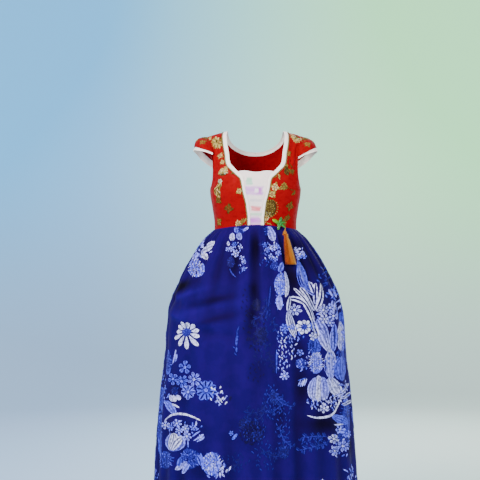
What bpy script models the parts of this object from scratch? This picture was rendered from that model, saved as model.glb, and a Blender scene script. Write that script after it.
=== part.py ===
"""Korean hanbok dress, as worn: a red brocade bodice with cap sleeves, white cuffs, a white collar strip
and a chest panel, a gathered blue skirt, and a norigae (jade leaves and a silk tassel) at the waist.

Metres.  +Z is up, the front faces -Y and +X is the wearer's left.  The origin is on the centre line at the
height of the shoulder points.  Every sheet of cloth is an open grid of points, thickened inwards, so the
dress is hollow and open at the neck, the armholes, the cuffs and the hem."""

import math

import bmesh
import bpy
import numpy as np
from mathutils import Vector

# ---------------------------------------------------------------- sizes
NAME = "hanbok"
BODICE_CLOTH = 0.0016          # wall of the brocade bodice with its backing
SKIRT_CLOTH = 0.0018           # wall of the skirt
WHITE_CLOTH = 0.0012           # collar strip, chest panel and cuffs
BRAID_CLOTH = 0.0010
GAP = 0.0003                   # between neighbours at a seam

RIDGE_Y = 0.005                # the shoulder line lies a little behind the middle
RIDGE_TOP = 0.0165             # its height on the centre line
RIDGE_FALL = 1.10              # and how fast it falls sideways, per square metre
ROLL = 0.095                   # depth over which the cloth rolls over the shoulder
ROUNDNESS = 2.3                # exponent of the bodice's oval section

# height, half width, depth in front, depth behind
BODY = ((-0.360, 0.1350, 0.0970, 0.0820),
        (-0.303, 0.1350, 0.0990, 0.0820),
        (-0.250, 0.1415, 0.1100, 0.0900),
        (-0.195, 0.1500, 0.1200, 0.0980),
        (-0.160, 0.1512, 0.1170, 0.0980),
        (-0.120, 0.1540, 0.1040, 0.0940),
        (-0.060, 0.1600, 0.0760, 0.0780),
        (0.030, 0.1680, 0.0700, 0.0720))

SEAM_SIDE = 1.0                # marks a row that ends on the side seam
# front edge x, front edge height, outer edge x, outer edge height
FRONT_ROWS = ((0.0263, -0.3140, SEAM_SIDE, -0.3280),
              (0.0262, -0.3030, SEAM_SIDE, -0.3160),
              (0.0262, -0.2860, SEAM_SIDE, -0.2900),
              (0.0290, -0.2620, SEAM_SIDE, -0.2620),
              (0.0320, -0.2386, SEAM_SIDE, -0.2380),
              (0.0375, -0.2175, SEAM_SIDE, -0.2150),
              (0.0426, -0.1975, SEAM_SIDE, -0.1950),
              (0.0455, -0.1780, 0.1455, -0.1770),
              (0.0500, -0.1600, 0.1418, -0.1600),
              (0.0640, -0.1455, 0.1396, -0.1460),
              (0.0800, -0.1294, 0.1384, -0.1300),
              (0.0915, -0.1165, 0.1380, -0.1165),
              (0.0970, -0.1010, 0.1380, -0.1010),
              (0.1000, -0.0757, 0.1382, -0.0800),
              (0.1044, -0.0496, 0.1390, -0.0610),
              (0.1070, -0.0300, 0.1435, -0.0420),
              (0.1080, -0.0130, 0.1505, -0.0265),
              (0.1068, -0.0010, 0.1565, -0.0165),
              (0.1053, 0.0038, 0.1592, -0.0119),
              (0.1045, 0.0045, 0.1600, -0.0117))
# centre back or neckline x, its height, outer edge x, outer edge height
BACK_ROWS = ((0.0, -0.3220, SEAM_SIDE, -0.3280),
             (0.0, -0.2860, SEAM_SIDE, -0.2900),
             (0.0, -0.2500, SEAM_SIDE, -0.2520),
             (0.0, -0.2150, SEAM_SIDE, -0.2150),
             (0.0, -0.1850, SEAM_SIDE, -0.1950),
             (0.0, -0.1550, 0.1455, -0.1720),
             (0.0, -0.1220, 0.1433, -0.1480),
             (0.0, -0.0900, 0.1425, -0.1240),
             (0.0, -0.0680, 0.1425, -0.1040),
             (0.0220, -0.0662, 0.1430, -0.0900),
             (0.0450, -0.0605, 0.1436, -0.0780),
             (0.0660, -0.0510, 0.1445, -0.0650),
             (0.0840, -0.0380, 0.1465, -0.0510),
             (0.0960, -0.0225, 0.1500, -0.0370),
             (0.1020, -0.0070, 0.1545, -0.0220),
             (0.1042, 0.0038, 0.1592, -0.0119),
             (0.1045, 0.0045, 0.1600, -0.0117))
NECK_ROW = 8                   # the row of the back that touches the bottom of the neckline

# Cap sleeves: tip of the hem, how the top bulges, the hem's ends, and the first row of the seam.
CAPS = {"left": {"side": 1.0, "tip": (0.2030, -0.0470), "bulge": (0.1950, -0.0180),
                 "front_end": -0.0830, "back_end": -0.0880, "first_row": 13},
        "right": {"side": -1.0, "tip": (0.2030, -0.0450), "bulge": (0.2010, -0.0100),
                  "front_end": -0.0690, "back_end": -0.0860, "first_row": 14}}
CAP_FRONT_REACH = 0.058        # the hem's half width forwards and backwards of the shoulder line
CAP_BACK_REACH = 0.062
CAP_ROOT_X = 0.139
CAP_LAST_ROW = 10              # last row of the seam down the back
CAP_STEPS = 5
CUFF_FRONT, CUFF_TIP, CUFF_BACK = 0.0060, 0.0130, 0.0240   # visible width of the white cuff
CUFF_GAP = 0.0010              # inside the cap sleeve

# width of the collar strip by row, from the waist up the front and round to the centre back
COLLAR_LOW, COLLAR_NECK = 0.0080, 0.0135
BRAID_WIDTH = 0.0034
BRAID_END = -0.3068            # it stops just above the skirt

PANEL_TUCK = 0.0060            # chest panel under the fronts
PANEL_GAP = 0.0008             # behind them
PANEL_TOP, PANEL_RISE = -0.1375, 0.0050
PANEL_COLUMNS, PANEL_ROWS = 10, 10

# Skirt: drop below the waist seam, half width, front depth, back depth, exponent of the oval
SKIRT = ((0.000, 0.1386, 0.1022, 0.0857, 2.30),
         (0.010, 0.1505, 0.1125, 0.0975, 2.28),
         (0.027, 0.1700, 0.1270, 0.1150, 2.24),
         (0.042, 0.1820, 0.1370, 0.1270, 2.20),
         (0.090, 0.2130, 0.1620, 0.1590, 2.14),
         (0.125, 0.2330, 0.1790, 0.1800, 2.12),
         (0.172, 0.2570, 0.2010, 0.2050, 2.10),
         (0.225, 0.2790, 0.2230, 0.2280, 2.08),
         (0.257, 0.2860, 0.2320, 0.2380, 2.08),
         (0.312, 0.2920, 0.2420, 0.2480, 2.07),
         (0.408, 0.2990, 0.2530, 0.2570, 2.06),
         (0.494, 0.3090, 0.2640, 0.2680, 2.05),
         (0.609, 0.3200, 0.2760, 0.2800, 2.04),
         (0.715, 0.3270, 0.2850, 0.2880, 2.04),
         (1.025, 0.3450, 0.3030, 0.3060, 2.03))
WAIST_FRONT, WAIST_SIDE, WAIST_BACK = -0.308, -0.321, -0.316
HEM = -1.343
SKIRT_DROP = 1.025

# Folds of the skirt: angle at the waist and at the hem (0 is the front, 90 the wearer's left), and how deep
# each trough is at the gathers, at the hip and at the hem, as a share of the depths in FOLD_DEPTH.
FOLDS = ((-1.0, 0.5, 1.0, 1.0, 0.5), (11.6, 10.6, 0.8, 0.7, 0.9), (24.3, 23.2, 1.1, 0.9, 1.3),
         (40.4, 38.0, 1.2, 1.3, 0.6), (55.5, 54.0, 0.9, 1.0, 1.0), (71.5, 70.0, 1.1, 0.8, 0.7),
         (87.0, 86.0, 0.9, 0.6, 1.1), (102.0, 102.0, 1.0, 0.8, 0.9), (117.0, 118.0, 0.8, 1.1, 0.6),
         (133.0, 132.0, 1.1, 0.7, 1.2), (147.0, 148.0, 1.0, 1.2, 0.7), (163.0, 162.0, 0.9, 0.8, 1.0),
         (178.0, 179.0, 1.2, 1.1, 0.8), (194.0, 193.0, 0.9, 0.7, 1.1), (209.0, 210.0, 1.0, 1.2, 0.6),
         (225.0, 224.0, 1.1, 0.8, 1.2), (240.0, 241.0, 0.8, 1.0, 0.8), (256.0, 255.0, 1.1, 0.9, 1.0),
         (271.0, 272.0, 0.9, 0.6, 0.8), (284.0, 286.0, 1.0, 0.7, 1.0), (298.0, 300.0, 0.9, 0.6, 0.7),
         (313.0, 315.0, 1.0, 0.7, 1.0), (329.0, 330.5, 0.9, 0.9, 0.6), (344.5, 346.0, 1.1, 1.1, 0.8))
# drop, depth of the folds, depth of the fine gathers between them
FOLD_DEPTH = ((0.000, 0.0012, 0.0011), (0.012, 0.0050, 0.0036), (0.034, 0.0090, 0.0046),
              (0.070, 0.0120, 0.0036), (0.115, 0.0130, 0.0018), (0.165, 0.0125, 0.0004),
              (0.225, 0.0100, 0.0000), (0.300, 0.0070, 0.0000), (0.450, 0.0055, 0.0000),
              (0.700, 0.0075, 0.0000), (1.025, 0.0110, 0.0000))
HIP_CREASE_DROP, HIP_CREASE_WIDTH, HIP_CREASE_DEPTH = 0.238, 0.020, 0.0050
HIP_CREASE_FROM, HIP_CREASE_TO = 290.0, 343.0      # a sideways crease below the right hip
SKIRT_DROPS = (0.0, 0.012, 0.034, 0.070, 0.115, 0.165, 0.212, 0.240, 0.282, 0.370, 0.520, 0.750, 1.025)
STEPS_PER_FOLD = 6
SKIRT_PANELS = (("skirt_front_left", 1), ("skirt_back_left", 7), ("skirt_back_right", 13),
                ("skirt_front_right", 19))
FOLDS_PER_PANEL = 6

# Norigae: jade leaves (angle, length, half width in degrees) about the centre, then the tassel.
JADE_CENTRE = (0.0770, -0.3030)
JADE_TILT = math.radians(19.0)
JADE_LEAVES = ((151.0, 0.0270, 22.0), (72.0, 0.0240, 20.0), (14.0, 0.0190, 18.0),
               (-40.0, 0.0240, 16.0), (250.0, 0.0240, 20.0))
JADE_WAIST, JADE_EDGE, JADE_DOME = 0.0085, 0.0016, 0.0034
TASSEL_TOP, TASSEL_BOTTOM = (0.0930, -0.3260), (0.1100, -0.4370)
TASSEL_NECK = (0.0953, -0.0978, -0.3182)           # where its cord ends, at the tip of a leaf
TASSEL_HEAD = 0.0120
TASSEL_GAP = -0.0010                               # off the highest fold beside it
TASSEL_HEAD_SIZE = (0.0070, 0.0055)                # half width and half depth
TASSEL_END_SIZE = (0.0175, 0.0075)
TASSEL_GRID = 7                                    # strands across and deep


# ---------------------------------------------------------------- curves and forms
def smooth(table, column, at):
    """Value of a table's column at a place in its first column: cubic pieces without overshoot."""
    rows = np.array(table, dtype=float)
    key, val = rows[:, 0], rows[:, column]
    step = np.diff(key)
    slope = np.diff(val) / step
    pair = slope[:-1] * slope[1:]
    total = np.where(np.abs(slope[:-1] + slope[1:]) < 1e-12, 1.0, slope[:-1] + slope[1:])
    ease = np.concatenate(([slope[0]], np.where(pair > 0, 2.0 * pair / total, 0.0), [slope[-1]]))
    at = np.asarray(at, dtype=float)
    i = np.clip(np.searchsorted(key, at) - 1, 0, len(key) - 2)
    t = np.clip((at - key[i]) / step[i], 0.0, 1.0)
    return (val[i] * (1 + 2 * t) * (1 - t) ** 2 + val[i + 1] * t * t * (3 - 2 * t)
            + step[i] * (ease[i] * t * (1 - t) ** 2 - ease[i + 1] * t * t * (1 - t)))


def ridge(x):
    """Height of the shoulder line at x."""
    return RIDGE_TOP - RIDGE_FALL * np.asarray(x) ** 2


def body(x, turn):
    """Point of the bodice at x and a turn over the shoulder: 0 on the shoulder line, above 0 down the
    front and below 0 down the back; the cloth rolls over a quarter turn, then hangs as the oval."""
    x, turn = np.broadcast_arrays(np.asarray(x, dtype=float), np.asarray(turn, dtype=float))
    over = np.minimum(np.abs(turn), math.pi / 2)
    z = ridge(x) - ROLL * (1 - np.cos(over)) - ROLL * (np.abs(turn) - over)
    share = np.clip(np.abs(x) / smooth(BODY, 1, z), 0.0, 1.0)
    reach = (1 - share ** ROUNDNESS) ** (1 / ROUNDNESS)
    hang = np.where(turn > 0, -smooth(BODY, 2, z), smooth(BODY, 3, z)) * reach
    y = RIDGE_Y + (hang - RIDGE_Y) * np.sin(over)
    return np.stack([x, y, z], axis=-1)


def turn_at(x, z, front):
    """The turn at which the bodice passes height z at x, on the front or the back."""
    down = (ridge(x) - z) / ROLL
    turn = np.where(down < 1, np.arccos(np.clip(1 - down, -1, 1)), math.pi / 2 + down - 1)
    return turn if front else -turn


def slopes(x, turn):
    """How the bodice runs sideways and downwards at a point, and its outward normal."""
    step = 1e-4
    across = (body(x + step, turn) - body(x - step, turn)) / (2 * step)
    down = (body(x, turn + step) - body(x, turn - step)) / (2 * step)
    normal = np.cross(down, across)
    return across, down, normal / np.linalg.norm(normal, axis=-1, keepdims=True)


def oval_row(x_in, z_in, x_out, z_out, front, columns):
    """One row of a bodice piece, evenly spaced in angle round the oval between its two ends; near the
    shoulder it keeps to the curve of the shoulder line."""
    def angle(x, z):
        share = min(1.0, abs(x) / float(smooth(BODY, 1, z)))
        return math.asin(share ** (ROUNDNESS / 2))
    along = np.linspace(0.0, 1.0, columns)
    theta = angle(x_in, z_in) + (angle(x_out, z_out) - angle(x_in, z_in)) * along
    straight = z_in + (z_out - z_in) * along
    shoulder = ridge(x_in) + (min(ridge(x_out), ridge(x_in)) - ridge(x_in)) * along
    near = np.clip(1 - (ridge(x_in) - z_in) / ROLL, 0.0, 1.0) ** 2
    z = straight
    for _ in range(3):
        x = smooth(BODY, 1, z) * np.sin(theta) ** (2 / ROUNDNESS)
        z = straight + (ridge(x) - shoulder) * near
    z[0], z[-1] = z_in, z_out
    return body(x, turn_at(x, z, front))


def bodice_piece(rows, front, columns):
    """Grid of a front or half back on the wearer's left, with a gap at the side and shoulder seams."""
    grid = np.stack([oval_row(*row, front, columns) for row in rows])
    away = -GAP if front else GAP
    for i, row in enumerate(rows):
        if row[2] == SEAM_SIDE:
            grid[i, -1, 1] = away
    grid[-1] = np.stack([grid[-1, :, 0], np.full(columns, RIDGE_Y + 2 * away), ridge(grid[-1, :, 0])], axis=1)
    return grid


def neck_path():
    """x and turn of the collar seam: up the left front edge, over the shoulder, round to the centre back."""
    points = [(r[0], float(turn_at(r[0], r[1], True))) for r in FRONT_ROWS]
    points += [(r[0], float(turn_at(r[0], r[1], False))) for r in BACK_ROWS[-2:NECK_ROW - 1:-1]]
    return np.array(points)


def beside_path(path, width):
    """x and turn of points beside the collar seam, the given width towards the neck opening."""
    mirrored = np.array([[-path[-2, 0], path[-2, 1]]])
    ends = np.vstack([2 * path[:1] - path[1:2], path, mirrored])
    places = body(ends[:, 0], ends[:, 1])
    along = places[2:] - places[:-2]
    across, down, normal = slopes(path[:, 0], path[:, 1])
    inwards = np.cross(normal, along)
    inwards *= (np.asarray(width) / np.linalg.norm(inwards, axis=1))[:, None]
    aa, dd, ad = (across * across).sum(1), (down * down).sum(1), (across * down).sum(1)
    ia, jd = (inwards * across).sum(1), (inwards * down).sum(1)
    det = aa * dd - ad * ad
    moved = path + np.stack([(ia * dd - jd * ad) / det, (jd * aa - ia * ad) / det], axis=1)
    moved[-1, 0] = 0.0
    return moved


def strip_beside(path, near, far, lift, columns):
    """Grid of a strip that runs beside the collar seam from near to far, lifted off the bodice."""
    grid = []
    for share in np.linspace(0.0, 1.0, columns):
        place = beside_path(path, np.asarray(near) * (1 - share) + np.asarray(far) * share)
        normal = slopes(place[:, 0], place[:, 1])[2]
        points = body(place[:, 0], place[:, 1]) + normal * lift
        points[-1, 0] = 0.0
        grid.append(points)
    return np.stack(grid, axis=1)


def collar_width(count):
    """Width of the collar strip row by row: narrow down the front edge, full round the neck."""
    row = np.arange(count)
    share = np.clip((row - 6) / 6.0, 0.0, 1.0)
    return COLLAR_LOW + (COLLAR_NECK - COLLAR_LOW) * share * share * (3 - 2 * share)


def panel_points():
    """Grid of the chest panel: between the front edges and a tuck beyond, its top edge a soft double curve."""
    edge = np.array(FRONT_ROWS)[:, :2]
    edge_x = [(z, x) for x, z in edge]
    lift = -(BODICE_CLOTH + PANEL_GAP)
    grid = []
    for v in np.linspace(0.0, 1.0, PANEL_ROWS + 1):
        z_side = FRONT_ROWS[0][1] + (PANEL_TOP - FRONT_ROWS[0][1]) * v
        u = np.linspace(-1.0, 1.0, PANEL_COLUMNS + 1)
        x = u * (float(smooth(edge_x, 1, z_side)) + PANEL_TUCK)
        top = PANEL_TOP + PANEL_RISE * np.sin(np.pi * np.abs(u)) ** 2
        z = FRONT_ROWS[0][1] + (top - FRONT_ROWS[0][1]) * v
        turn = turn_at(x, z, True)
        grid.append(body(x, turn) + slopes(x, turn)[2] * lift)
    return np.stack(grid)


def cap_points(cap, front_grid, back_grid):
    """Grid of a cap sleeve on the wearer's left: from the armhole seam out over the arm to the hem."""
    seam = np.concatenate([front_grid[cap["first_row"]:, -1], back_grid[-2:CAP_LAST_ROW - 1:-1, -1]])
    front_count = len(front_grid) - cap["first_row"]
    psi = np.radians(np.concatenate([np.linspace(-90, 0, front_count),
                                     np.linspace(0, 90, len(seam) - front_count + 1)[1:]]))
    lobe, drop = np.cos(psi), 1 - np.cos(psi)
    end = np.where(psi < 0, cap["front_end"], cap["back_end"])
    reach = np.where(psi < 0, CAP_FRONT_REACH, CAP_BACK_REACH)
    hem = np.stack([CAP_ROOT_X + (cap["tip"][0] - CAP_ROOT_X) * lobe, RIDGE_Y + reach * np.sin(psi),
                    cap["tip"][1] + (end - cap["tip"][1]) * drop], axis=1)
    middle = (seam + hem) / 2
    over = np.stack([middle[:, 0] + (cap["bulge"][0] - middle[:, 0]) * lobe,
                     middle[:, 1] + 0.004 * np.sign(psi) * (1 - lobe),
                     middle[:, 2] + (cap["bulge"][1] - middle[:, 2]) * lobe], axis=1)
    along = over - seam
    seam = seam + along / np.linalg.norm(along, axis=1, keepdims=True) * (2 * GAP)
    t = np.linspace(0.0, 1.0, CAP_STEPS + 1)[:, None, None]
    return seam * (1 - t) ** 2 + over * 2 * t * (1 - t) + hem * t * t, psi


def grid_normals(grid):
    """Outward normals of a cap sleeve's grid, from its own rows and columns."""
    normal = np.cross(np.gradient(grid, axis=1), np.gradient(grid, axis=0))
    normal /= np.linalg.norm(normal, axis=-1, keepdims=True)
    return normal if normal[..., 2].mean() > 0 else -normal


def cuff_points(cap_grid, psi):
    """Grid of a cuff: tucked inside the cap sleeve, then out below its hem, longest behind."""
    inside = cap_grid - grid_normals(cap_grid) * (BODICE_CLOTH + CUFF_GAP)
    tuck = inside[-2] + (inside[-1] - inside[-2]) * 0.40
    width = np.where(psi < 0, CUFF_TIP + (CUFF_FRONT - CUFF_TIP) * np.sin(psi) ** 2,
                     CUFF_TIP + (CUFF_BACK - CUFF_TIP) * np.sin(psi) ** 2)
    out = np.stack([0.45 * np.cos(psi), 0.22 * np.sin(psi), -np.ones_like(psi)], axis=1)
    out /= np.linalg.norm(out, axis=1, keepdims=True)
    hem = inside[-1]
    return np.stack([tuck, hem, hem + out * (width * 0.55)[:, None], hem + out * width[:, None]])


def waist_seam(phi):
    """Height of the waist seam round the body: highest at the centre front."""
    swing = np.abs(np.sin(phi))
    return np.where(np.cos(phi) > 0, WAIST_FRONT + (WAIST_SIDE - WAIST_FRONT) * swing ** 1.3,
                    WAIST_SIDE + (WAIST_BACK - WAIST_SIDE) * (1 - swing ** 2))


def fold_value(q, column):
    """Column of the fold table at a place counted in folds, eased between neighbours."""
    table = np.array(FOLDS)[:, column]
    low = np.floor(q).astype(int)
    part = q - low
    if column < 2:
        turns = 360.0 * np.floor_divide(low, len(FOLDS))
        nxt = 360.0 * np.floor_divide(low + 1, len(FOLDS))
        return (table[low % len(FOLDS)] + turns) * (1 - part) + (table[(low + 1) % len(FOLDS)] + nxt) * part
    part = part * part * (3 - 2 * part)
    return table[low % len(FOLDS)] * (1 - part) + table[(low + 1) % len(FOLDS)] * part


def skirt(q, drop):
    """Point of the skirt at a place q, counted in folds round it, and a drop below the waist seam."""
    q, drop = np.broadcast_arrays(np.asarray(q, dtype=float), np.asarray(drop, dtype=float))
    low = np.clip(drop / SKIRT_DROP, 0.0, 1.0)
    angle = fold_value(q, 0) * (1 - low) + fold_value(q, 1) * low
    phi = np.radians(angle)
    sin, cos = np.sin(phi), np.cos(phi)
    power = 2 / smooth(SKIRT, 4, drop)
    wide = smooth(SKIRT, 1, drop)
    deep = np.where(cos > 0, smooth(SKIRT, 2, drop), smooth(SKIRT, 3, drop))
    x = wide * np.sign(sin) * np.abs(sin) ** power
    y = -deep * np.sign(cos) * np.abs(cos) ** power
    seam = waist_seam(phi)
    z = seam + (HEM - seam) * low
    # how much each trough counts at this drop: gathers, then hip, then hem
    to_hip = np.clip((drop - 0.02) / 0.16, 0.0, 1.0)
    to_hem = np.clip((drop - 0.30) / 0.45, 0.0, 1.0)
    share = fold_value(q, 2) * (1 - to_hip) + fold_value(q, 3) * to_hip
    share = share * (1 - to_hem) + fold_value(q, 4) * to_hem
    trough = (0.5 + 0.5 * np.cos(2 * np.pi * q)) ** 1.4
    gather = (0.5 + 0.5 * np.cos(4 * np.pi * q)) * (1 - trough)
    inwards = smooth(FOLD_DEPTH, 1, drop) * share * trough + smooth(FOLD_DEPTH, 2, drop) * gather
    turned = np.mod(angle, 360.0)
    place = np.clip((turned - HIP_CREASE_FROM) / (HIP_CREASE_TO - HIP_CREASE_FROM), 0.0, 1.0)
    crease = np.exp(-((drop - HIP_CREASE_DROP) / HIP_CREASE_WIDTH) ** 2) * np.sin(np.pi * place) ** 2
    inwards = inwards + HIP_CREASE_DEPTH * crease
    out_x, out_y = x / wide ** 2, y / deep ** 2
    length = np.hypot(out_x, out_y)
    return np.stack([x - inwards * out_x / length, y - inwards * out_y / length, z], axis=-1)


def skirt_panel(first_fold):
    """Grid of one width of the skirt, half a gap short of its seams."""
    q = np.linspace(first_fold, first_fold + FOLDS_PER_PANEL, FOLDS_PER_PANEL * STEPS_PER_FOLD + 1)
    drops = np.array(SKIRT_DROPS)[:, None]
    grid = skirt(q[None, :], drops)
    for column, inner in ((0, 1), (-1, -2)):
        along = grid[:, inner] - grid[:, column]
        grid[:, column] += along / np.linalg.norm(along, axis=1, keepdims=True) * (GAP / 2 + 0.00005)
    return grid


def skirt_front_y(x, z):
    """How far forward the skirt, or the bodice above it, comes near a place on the front."""
    q = np.linspace(-1.0, 6.0, 281)[None, :]
    drops = np.linspace(0.0, 0.20, 161)[:, None]
    points = skirt(q, drops).reshape(-1, 3)
    near = (np.abs(points[:, 0] - x) < 0.0025) & (np.abs(points[:, 2] - z) < 0.0025)
    if near.any():
        return float(points[near, 1].min())
    return float(body(x, turn_at(x, z, True))[1])


# ---------------------------------------------------------------- making objects
def material(name, colour, roughness, metallic=0.0):
    """A plain surface."""
    mat = bpy.data.materials.new(name)
    mat.use_nodes = True
    shader = mat.node_tree.nodes["Principled BSDF"]
    shader.inputs["Base Color"].default_value = (*colour, 1.0)
    shader.inputs["Roughness"].default_value = roughness
    shader.inputs["Metallic"].default_value = metallic
    mat.diffuse_color = (*colour, 1.0)
    return mat


def add_object(name, bm, mat):
    """Puts a finished mesh into the dress's collection."""
    mesh = bpy.data.meshes.new(name)
    bm.to_mesh(mesh)
    bm.free()
    mesh.shade_smooth()
    mesh.materials.append(mat)
    obj = bpy.data.objects.new(name, mesh)
    collection.objects.link(obj)
    return obj


def sheet(name, points, thickness, mat, inside, mirrored=False):
    """A sheet of cloth: a grid laid on the points, thickened towards the inside point; a mirrored sheet is
    made as its left half and closed on the centre line."""
    rows, columns = points.shape[:2]
    bm = bmesh.new()
    bmesh.ops.create_grid(bm, x_segments=columns - 1, y_segments=rows - 1, size=1.0)
    bm.verts.ensure_lookup_table()
    for vert, place in zip(bm.verts, points.reshape(-1, 3)):
        vert.co = place
    bm.normal_update()
    outwards = sum(f.normal.dot(f.calc_center_median() - Vector(inside)) for f in bm.faces)
    if outwards < 0:
        bmesh.ops.reverse_faces(bm, faces=bm.faces)
    obj = add_object(name, bm, mat)
    if mirrored:
        mirror = obj.modifiers.new("Mirror", "MIRROR")
        mirror.use_axis = (True, False, False)
        mirror.use_clip = True
        mirror.merge_threshold = 0.00001
    solid = obj.modifiers.new("Solidify", "SOLIDIFY")
    solid.thickness = thickness
    solid.offset = -1.0
    solid.use_even_offset = True
    solid.use_quality_normals = True
    return obj


def flip(points):
    """The same piece for the wearer's right side."""
    return points * np.array([-1.0, 1.0, 1.0])


def jade_leaves(mat):
    """Jade ornament: five domed leaves about one centre, flat behind, leaning with the cloth below it."""
    angles, radii = [], []
    order = sorted(JADE_LEAVES, key=lambda leaf: leaf[0] % 360.0)
    for k, (tip, length, half) in enumerate(order):
        tip %= 360.0
        nxt = order[(k + 1) % len(order)][0] % 360.0 + (360.0 if k == len(order) - 1 else 0.0)
        for turn, share in ((-1.0, 0.52), (-0.62, 0.74), (-0.28, 0.90), (0.0, 1.0), (0.28, 0.90),
                            (0.62, 0.74), (1.0, 0.52)):
            angles.append(tip + turn * half)
            radii.append(length * share)
        angles.append((tip + nxt) / 2)
        radii.append(JADE_WAIST)
    angles, radii = np.radians(angles), np.array(radii)
    count = len(angles)
    ribs = np.tile([0.0, 0.25, 0.6, 1.0, 0.6, 0.25, 0.0, 0.0], len(order))
    out = np.stack([np.cos(angles), np.sin(angles)], axis=1)
    rings = []
    for share, rise in ((0.35, 0.85), (0.75, 0.55), (1.0, 0.0)):
        flat = out * (radii * share)[:, None]
        height = JADE_EDGE + JADE_DOME * rise * (0.45 + 0.55 * ribs)
        rings.append(np.column_stack([flat, height]))
    rings.append(np.column_stack([out * radii[:, None], np.zeros(count)]))
    bm = bmesh.new()
    loops = [[bm.verts.new(p) for p in ring] for ring in rings]
    top, base = bm.verts.new((0, 0, JADE_EDGE + JADE_DOME)), bm.verts.new((0, 0, 0))
    for k in range(count):
        n = (k + 1) % count
        bm.faces.new((top, loops[0][k], loops[0][n]))
        bm.faces.new((base, loops[-1][n], loops[-1][k]))
        for upper, lower in zip(loops[:-1], loops[1:]):
            bm.faces.new((upper[k], lower[k], lower[n], upper[n]))
    bm.normal_update()
    x0, z0 = JADE_CENTRE
    # local x runs across, local y up the slope, local z away from the cloth
    cos, sin = math.cos(JADE_TILT), math.sin(JADE_TILT)
    yaw = math.radians(14.0)
    across = Vector((math.cos(yaw), math.sin(yaw), 0.0))
    up = Vector((-math.sin(yaw) * sin, math.cos(yaw) * sin, cos))
    away = across.cross(up)
    places = [across * v.co.x + up * v.co.y + away * v.co.z for v in bm.verts]
    cloth = min(skirt_front_y(x0 + p.x, z0 + p.z) - p.y for p in places)
    for vert, place in zip(bm.verts, places):
        vert.co = place + Vector((x0, cloth - GAP, z0))
    return add_object("norigae_jade", bm, mat)


def tassel(mat):
    """Silk tassel: a domed head whose underside is a grid of cells, each drawn down into one strand that
    follows the slope of the skirt and ends apart from its neighbours."""
    cells = TASSEL_GRID
    (top_x, top_z), (end_x, end_z) = TASSEL_TOP, TASSEL_BOTTOM
    long = top_z - end_z
    # the line the bundle hangs on: just off the skirt at every height
    heights = np.linspace(0.0, 1.0, 12)
    clear = TASSEL_HEAD_SIZE[1] + (TASSEL_END_SIZE[1] - TASSEL_HEAD_SIZE[1]) * heights + TASSEL_GAP
    front = np.array([min(skirt_front_y(top_x + (end_x - top_x) * h + dx, top_z - long * h)
                          for dx in (-0.012, -0.006, 0.0, 0.006, 0.012)) for h in heights]) - clear
    line = [(h, f) for h, f in zip(heights, np.minimum.accumulate(front))]

    def place(u, v, h):
        """Point of the bundle: u and v from -1 to 1 across and deep, h from 0 at the top to 1 at the end."""
        spread = max(0.0, (h - 0.08) / 0.92) ** 0.8
        wide = TASSEL_HEAD_SIZE[0] + (TASSEL_END_SIZE[0] - TASSEL_HEAD_SIZE[0]) * spread
        deep = TASSEL_HEAD_SIZE[1] + (TASSEL_END_SIZE[1] - TASSEL_HEAD_SIZE[1]) * spread
        disc_x, disc_y = u * math.sqrt(1 - v * v / 2), v * math.sqrt(1 - u * u / 2)
        return Vector((top_x + (end_x - top_x) * h + wide * disc_x,
                       float(smooth(line, 1, h)) + deep * disc_y, top_z - long * h))

    bm = bmesh.new()
    bmesh.ops.create_grid(bm, x_segments=cells, y_segments=cells, size=1.0)
    head = TASSEL_HEAD / long
    under = list(bm.faces)
    grown = bmesh.ops.extrude_face_region(bm, geom=under, use_keep_orig=True)
    roof = [g for g in grown["geom"] if isinstance(g, bmesh.types.BMVert)]
    lifted = set(roof)
    flat = {v: (v.co.x, v.co.y) for v in bm.verts}
    for vert, (u, v) in flat.items():
        if vert in lifted:
            swell = 0.80 - 0.10 * max(abs(u), abs(v))
            vert.co = place(u * swell, v * swell, 0.0)
            vert.co.z -= TASSEL_HEAD * 0.45 * max(abs(u), abs(v)) ** 2
        else:
            vert.co = place(u, v, head)
    # a short neck of cord rises from the middle of the head to the tip of a jade leaf
    crown = min((f for f in bm.faces if all(v in lifted for v in f.verts)),
                key=lambda f: sum(abs(flat[v][0]) + abs(flat[v][1]) for v in f.verts))
    start = crown.calc_center_median()
    for share, shrink in ((0.30, 0.90), (1.0, 0.95)):
        crown = bmesh.ops.extrude_discrete_faces(bm, faces=[crown])["faces"][0]
        old = crown.calc_center_median()
        for vert in crown.verts:
            vert.co = start.lerp(Vector(TASSEL_NECK), share) + (vert.co - old) * shrink
    cellmid = {}
    for face in under:
        us = [flat[v][0] for v in face.verts]
        vs = [flat[v][1] for v in face.verts]
        cellmid[face] = (sum(us) / 4, sum(vs) / 4)
    for face in under:
        face.normal_update()
        if face.normal.z > 0:
            face.normal_flip()
    mids = [cellmid[f] for f in under]
    bmesh.ops.inset_individual(bm, faces=under, thickness=0.00028, use_even_offset=True)
    faces = under
    for level, h in enumerate((0.40, 0.72, 1.0)):
        grown = bmesh.ops.extrude_discrete_faces(bm, faces=faces)
        faces = grown["faces"]
        for k, (face, (u, v)) in enumerate(zip(faces, mids)):
            sway = 0.05 * math.sin(k * 2.4 + level)
            drop = h - (0.02 * (0.5 + 0.5 * math.sin(k * 3.7)) if h == 1.0 else 0.0)
            centre = place(u + sway * (1 - abs(u)), v, drop)
            old = face.calc_center_median()
            grow = 1.0 + (0.25, 0.15, -0.25)[level]
            for vert in face.verts:
                vert.co = centre + (vert.co - old) * grow
    bmesh.ops.recalc_face_normals(bm, faces=bm.faces)
    return add_object("norigae_tassel", bm, mat)


# ---------------------------------------------------------------- the dress
for old in list(bpy.data.objects):
    bpy.data.objects.remove(old)
collection = bpy.data.collections.new(NAME)
bpy.context.scene.collection.children.link(collection)

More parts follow.
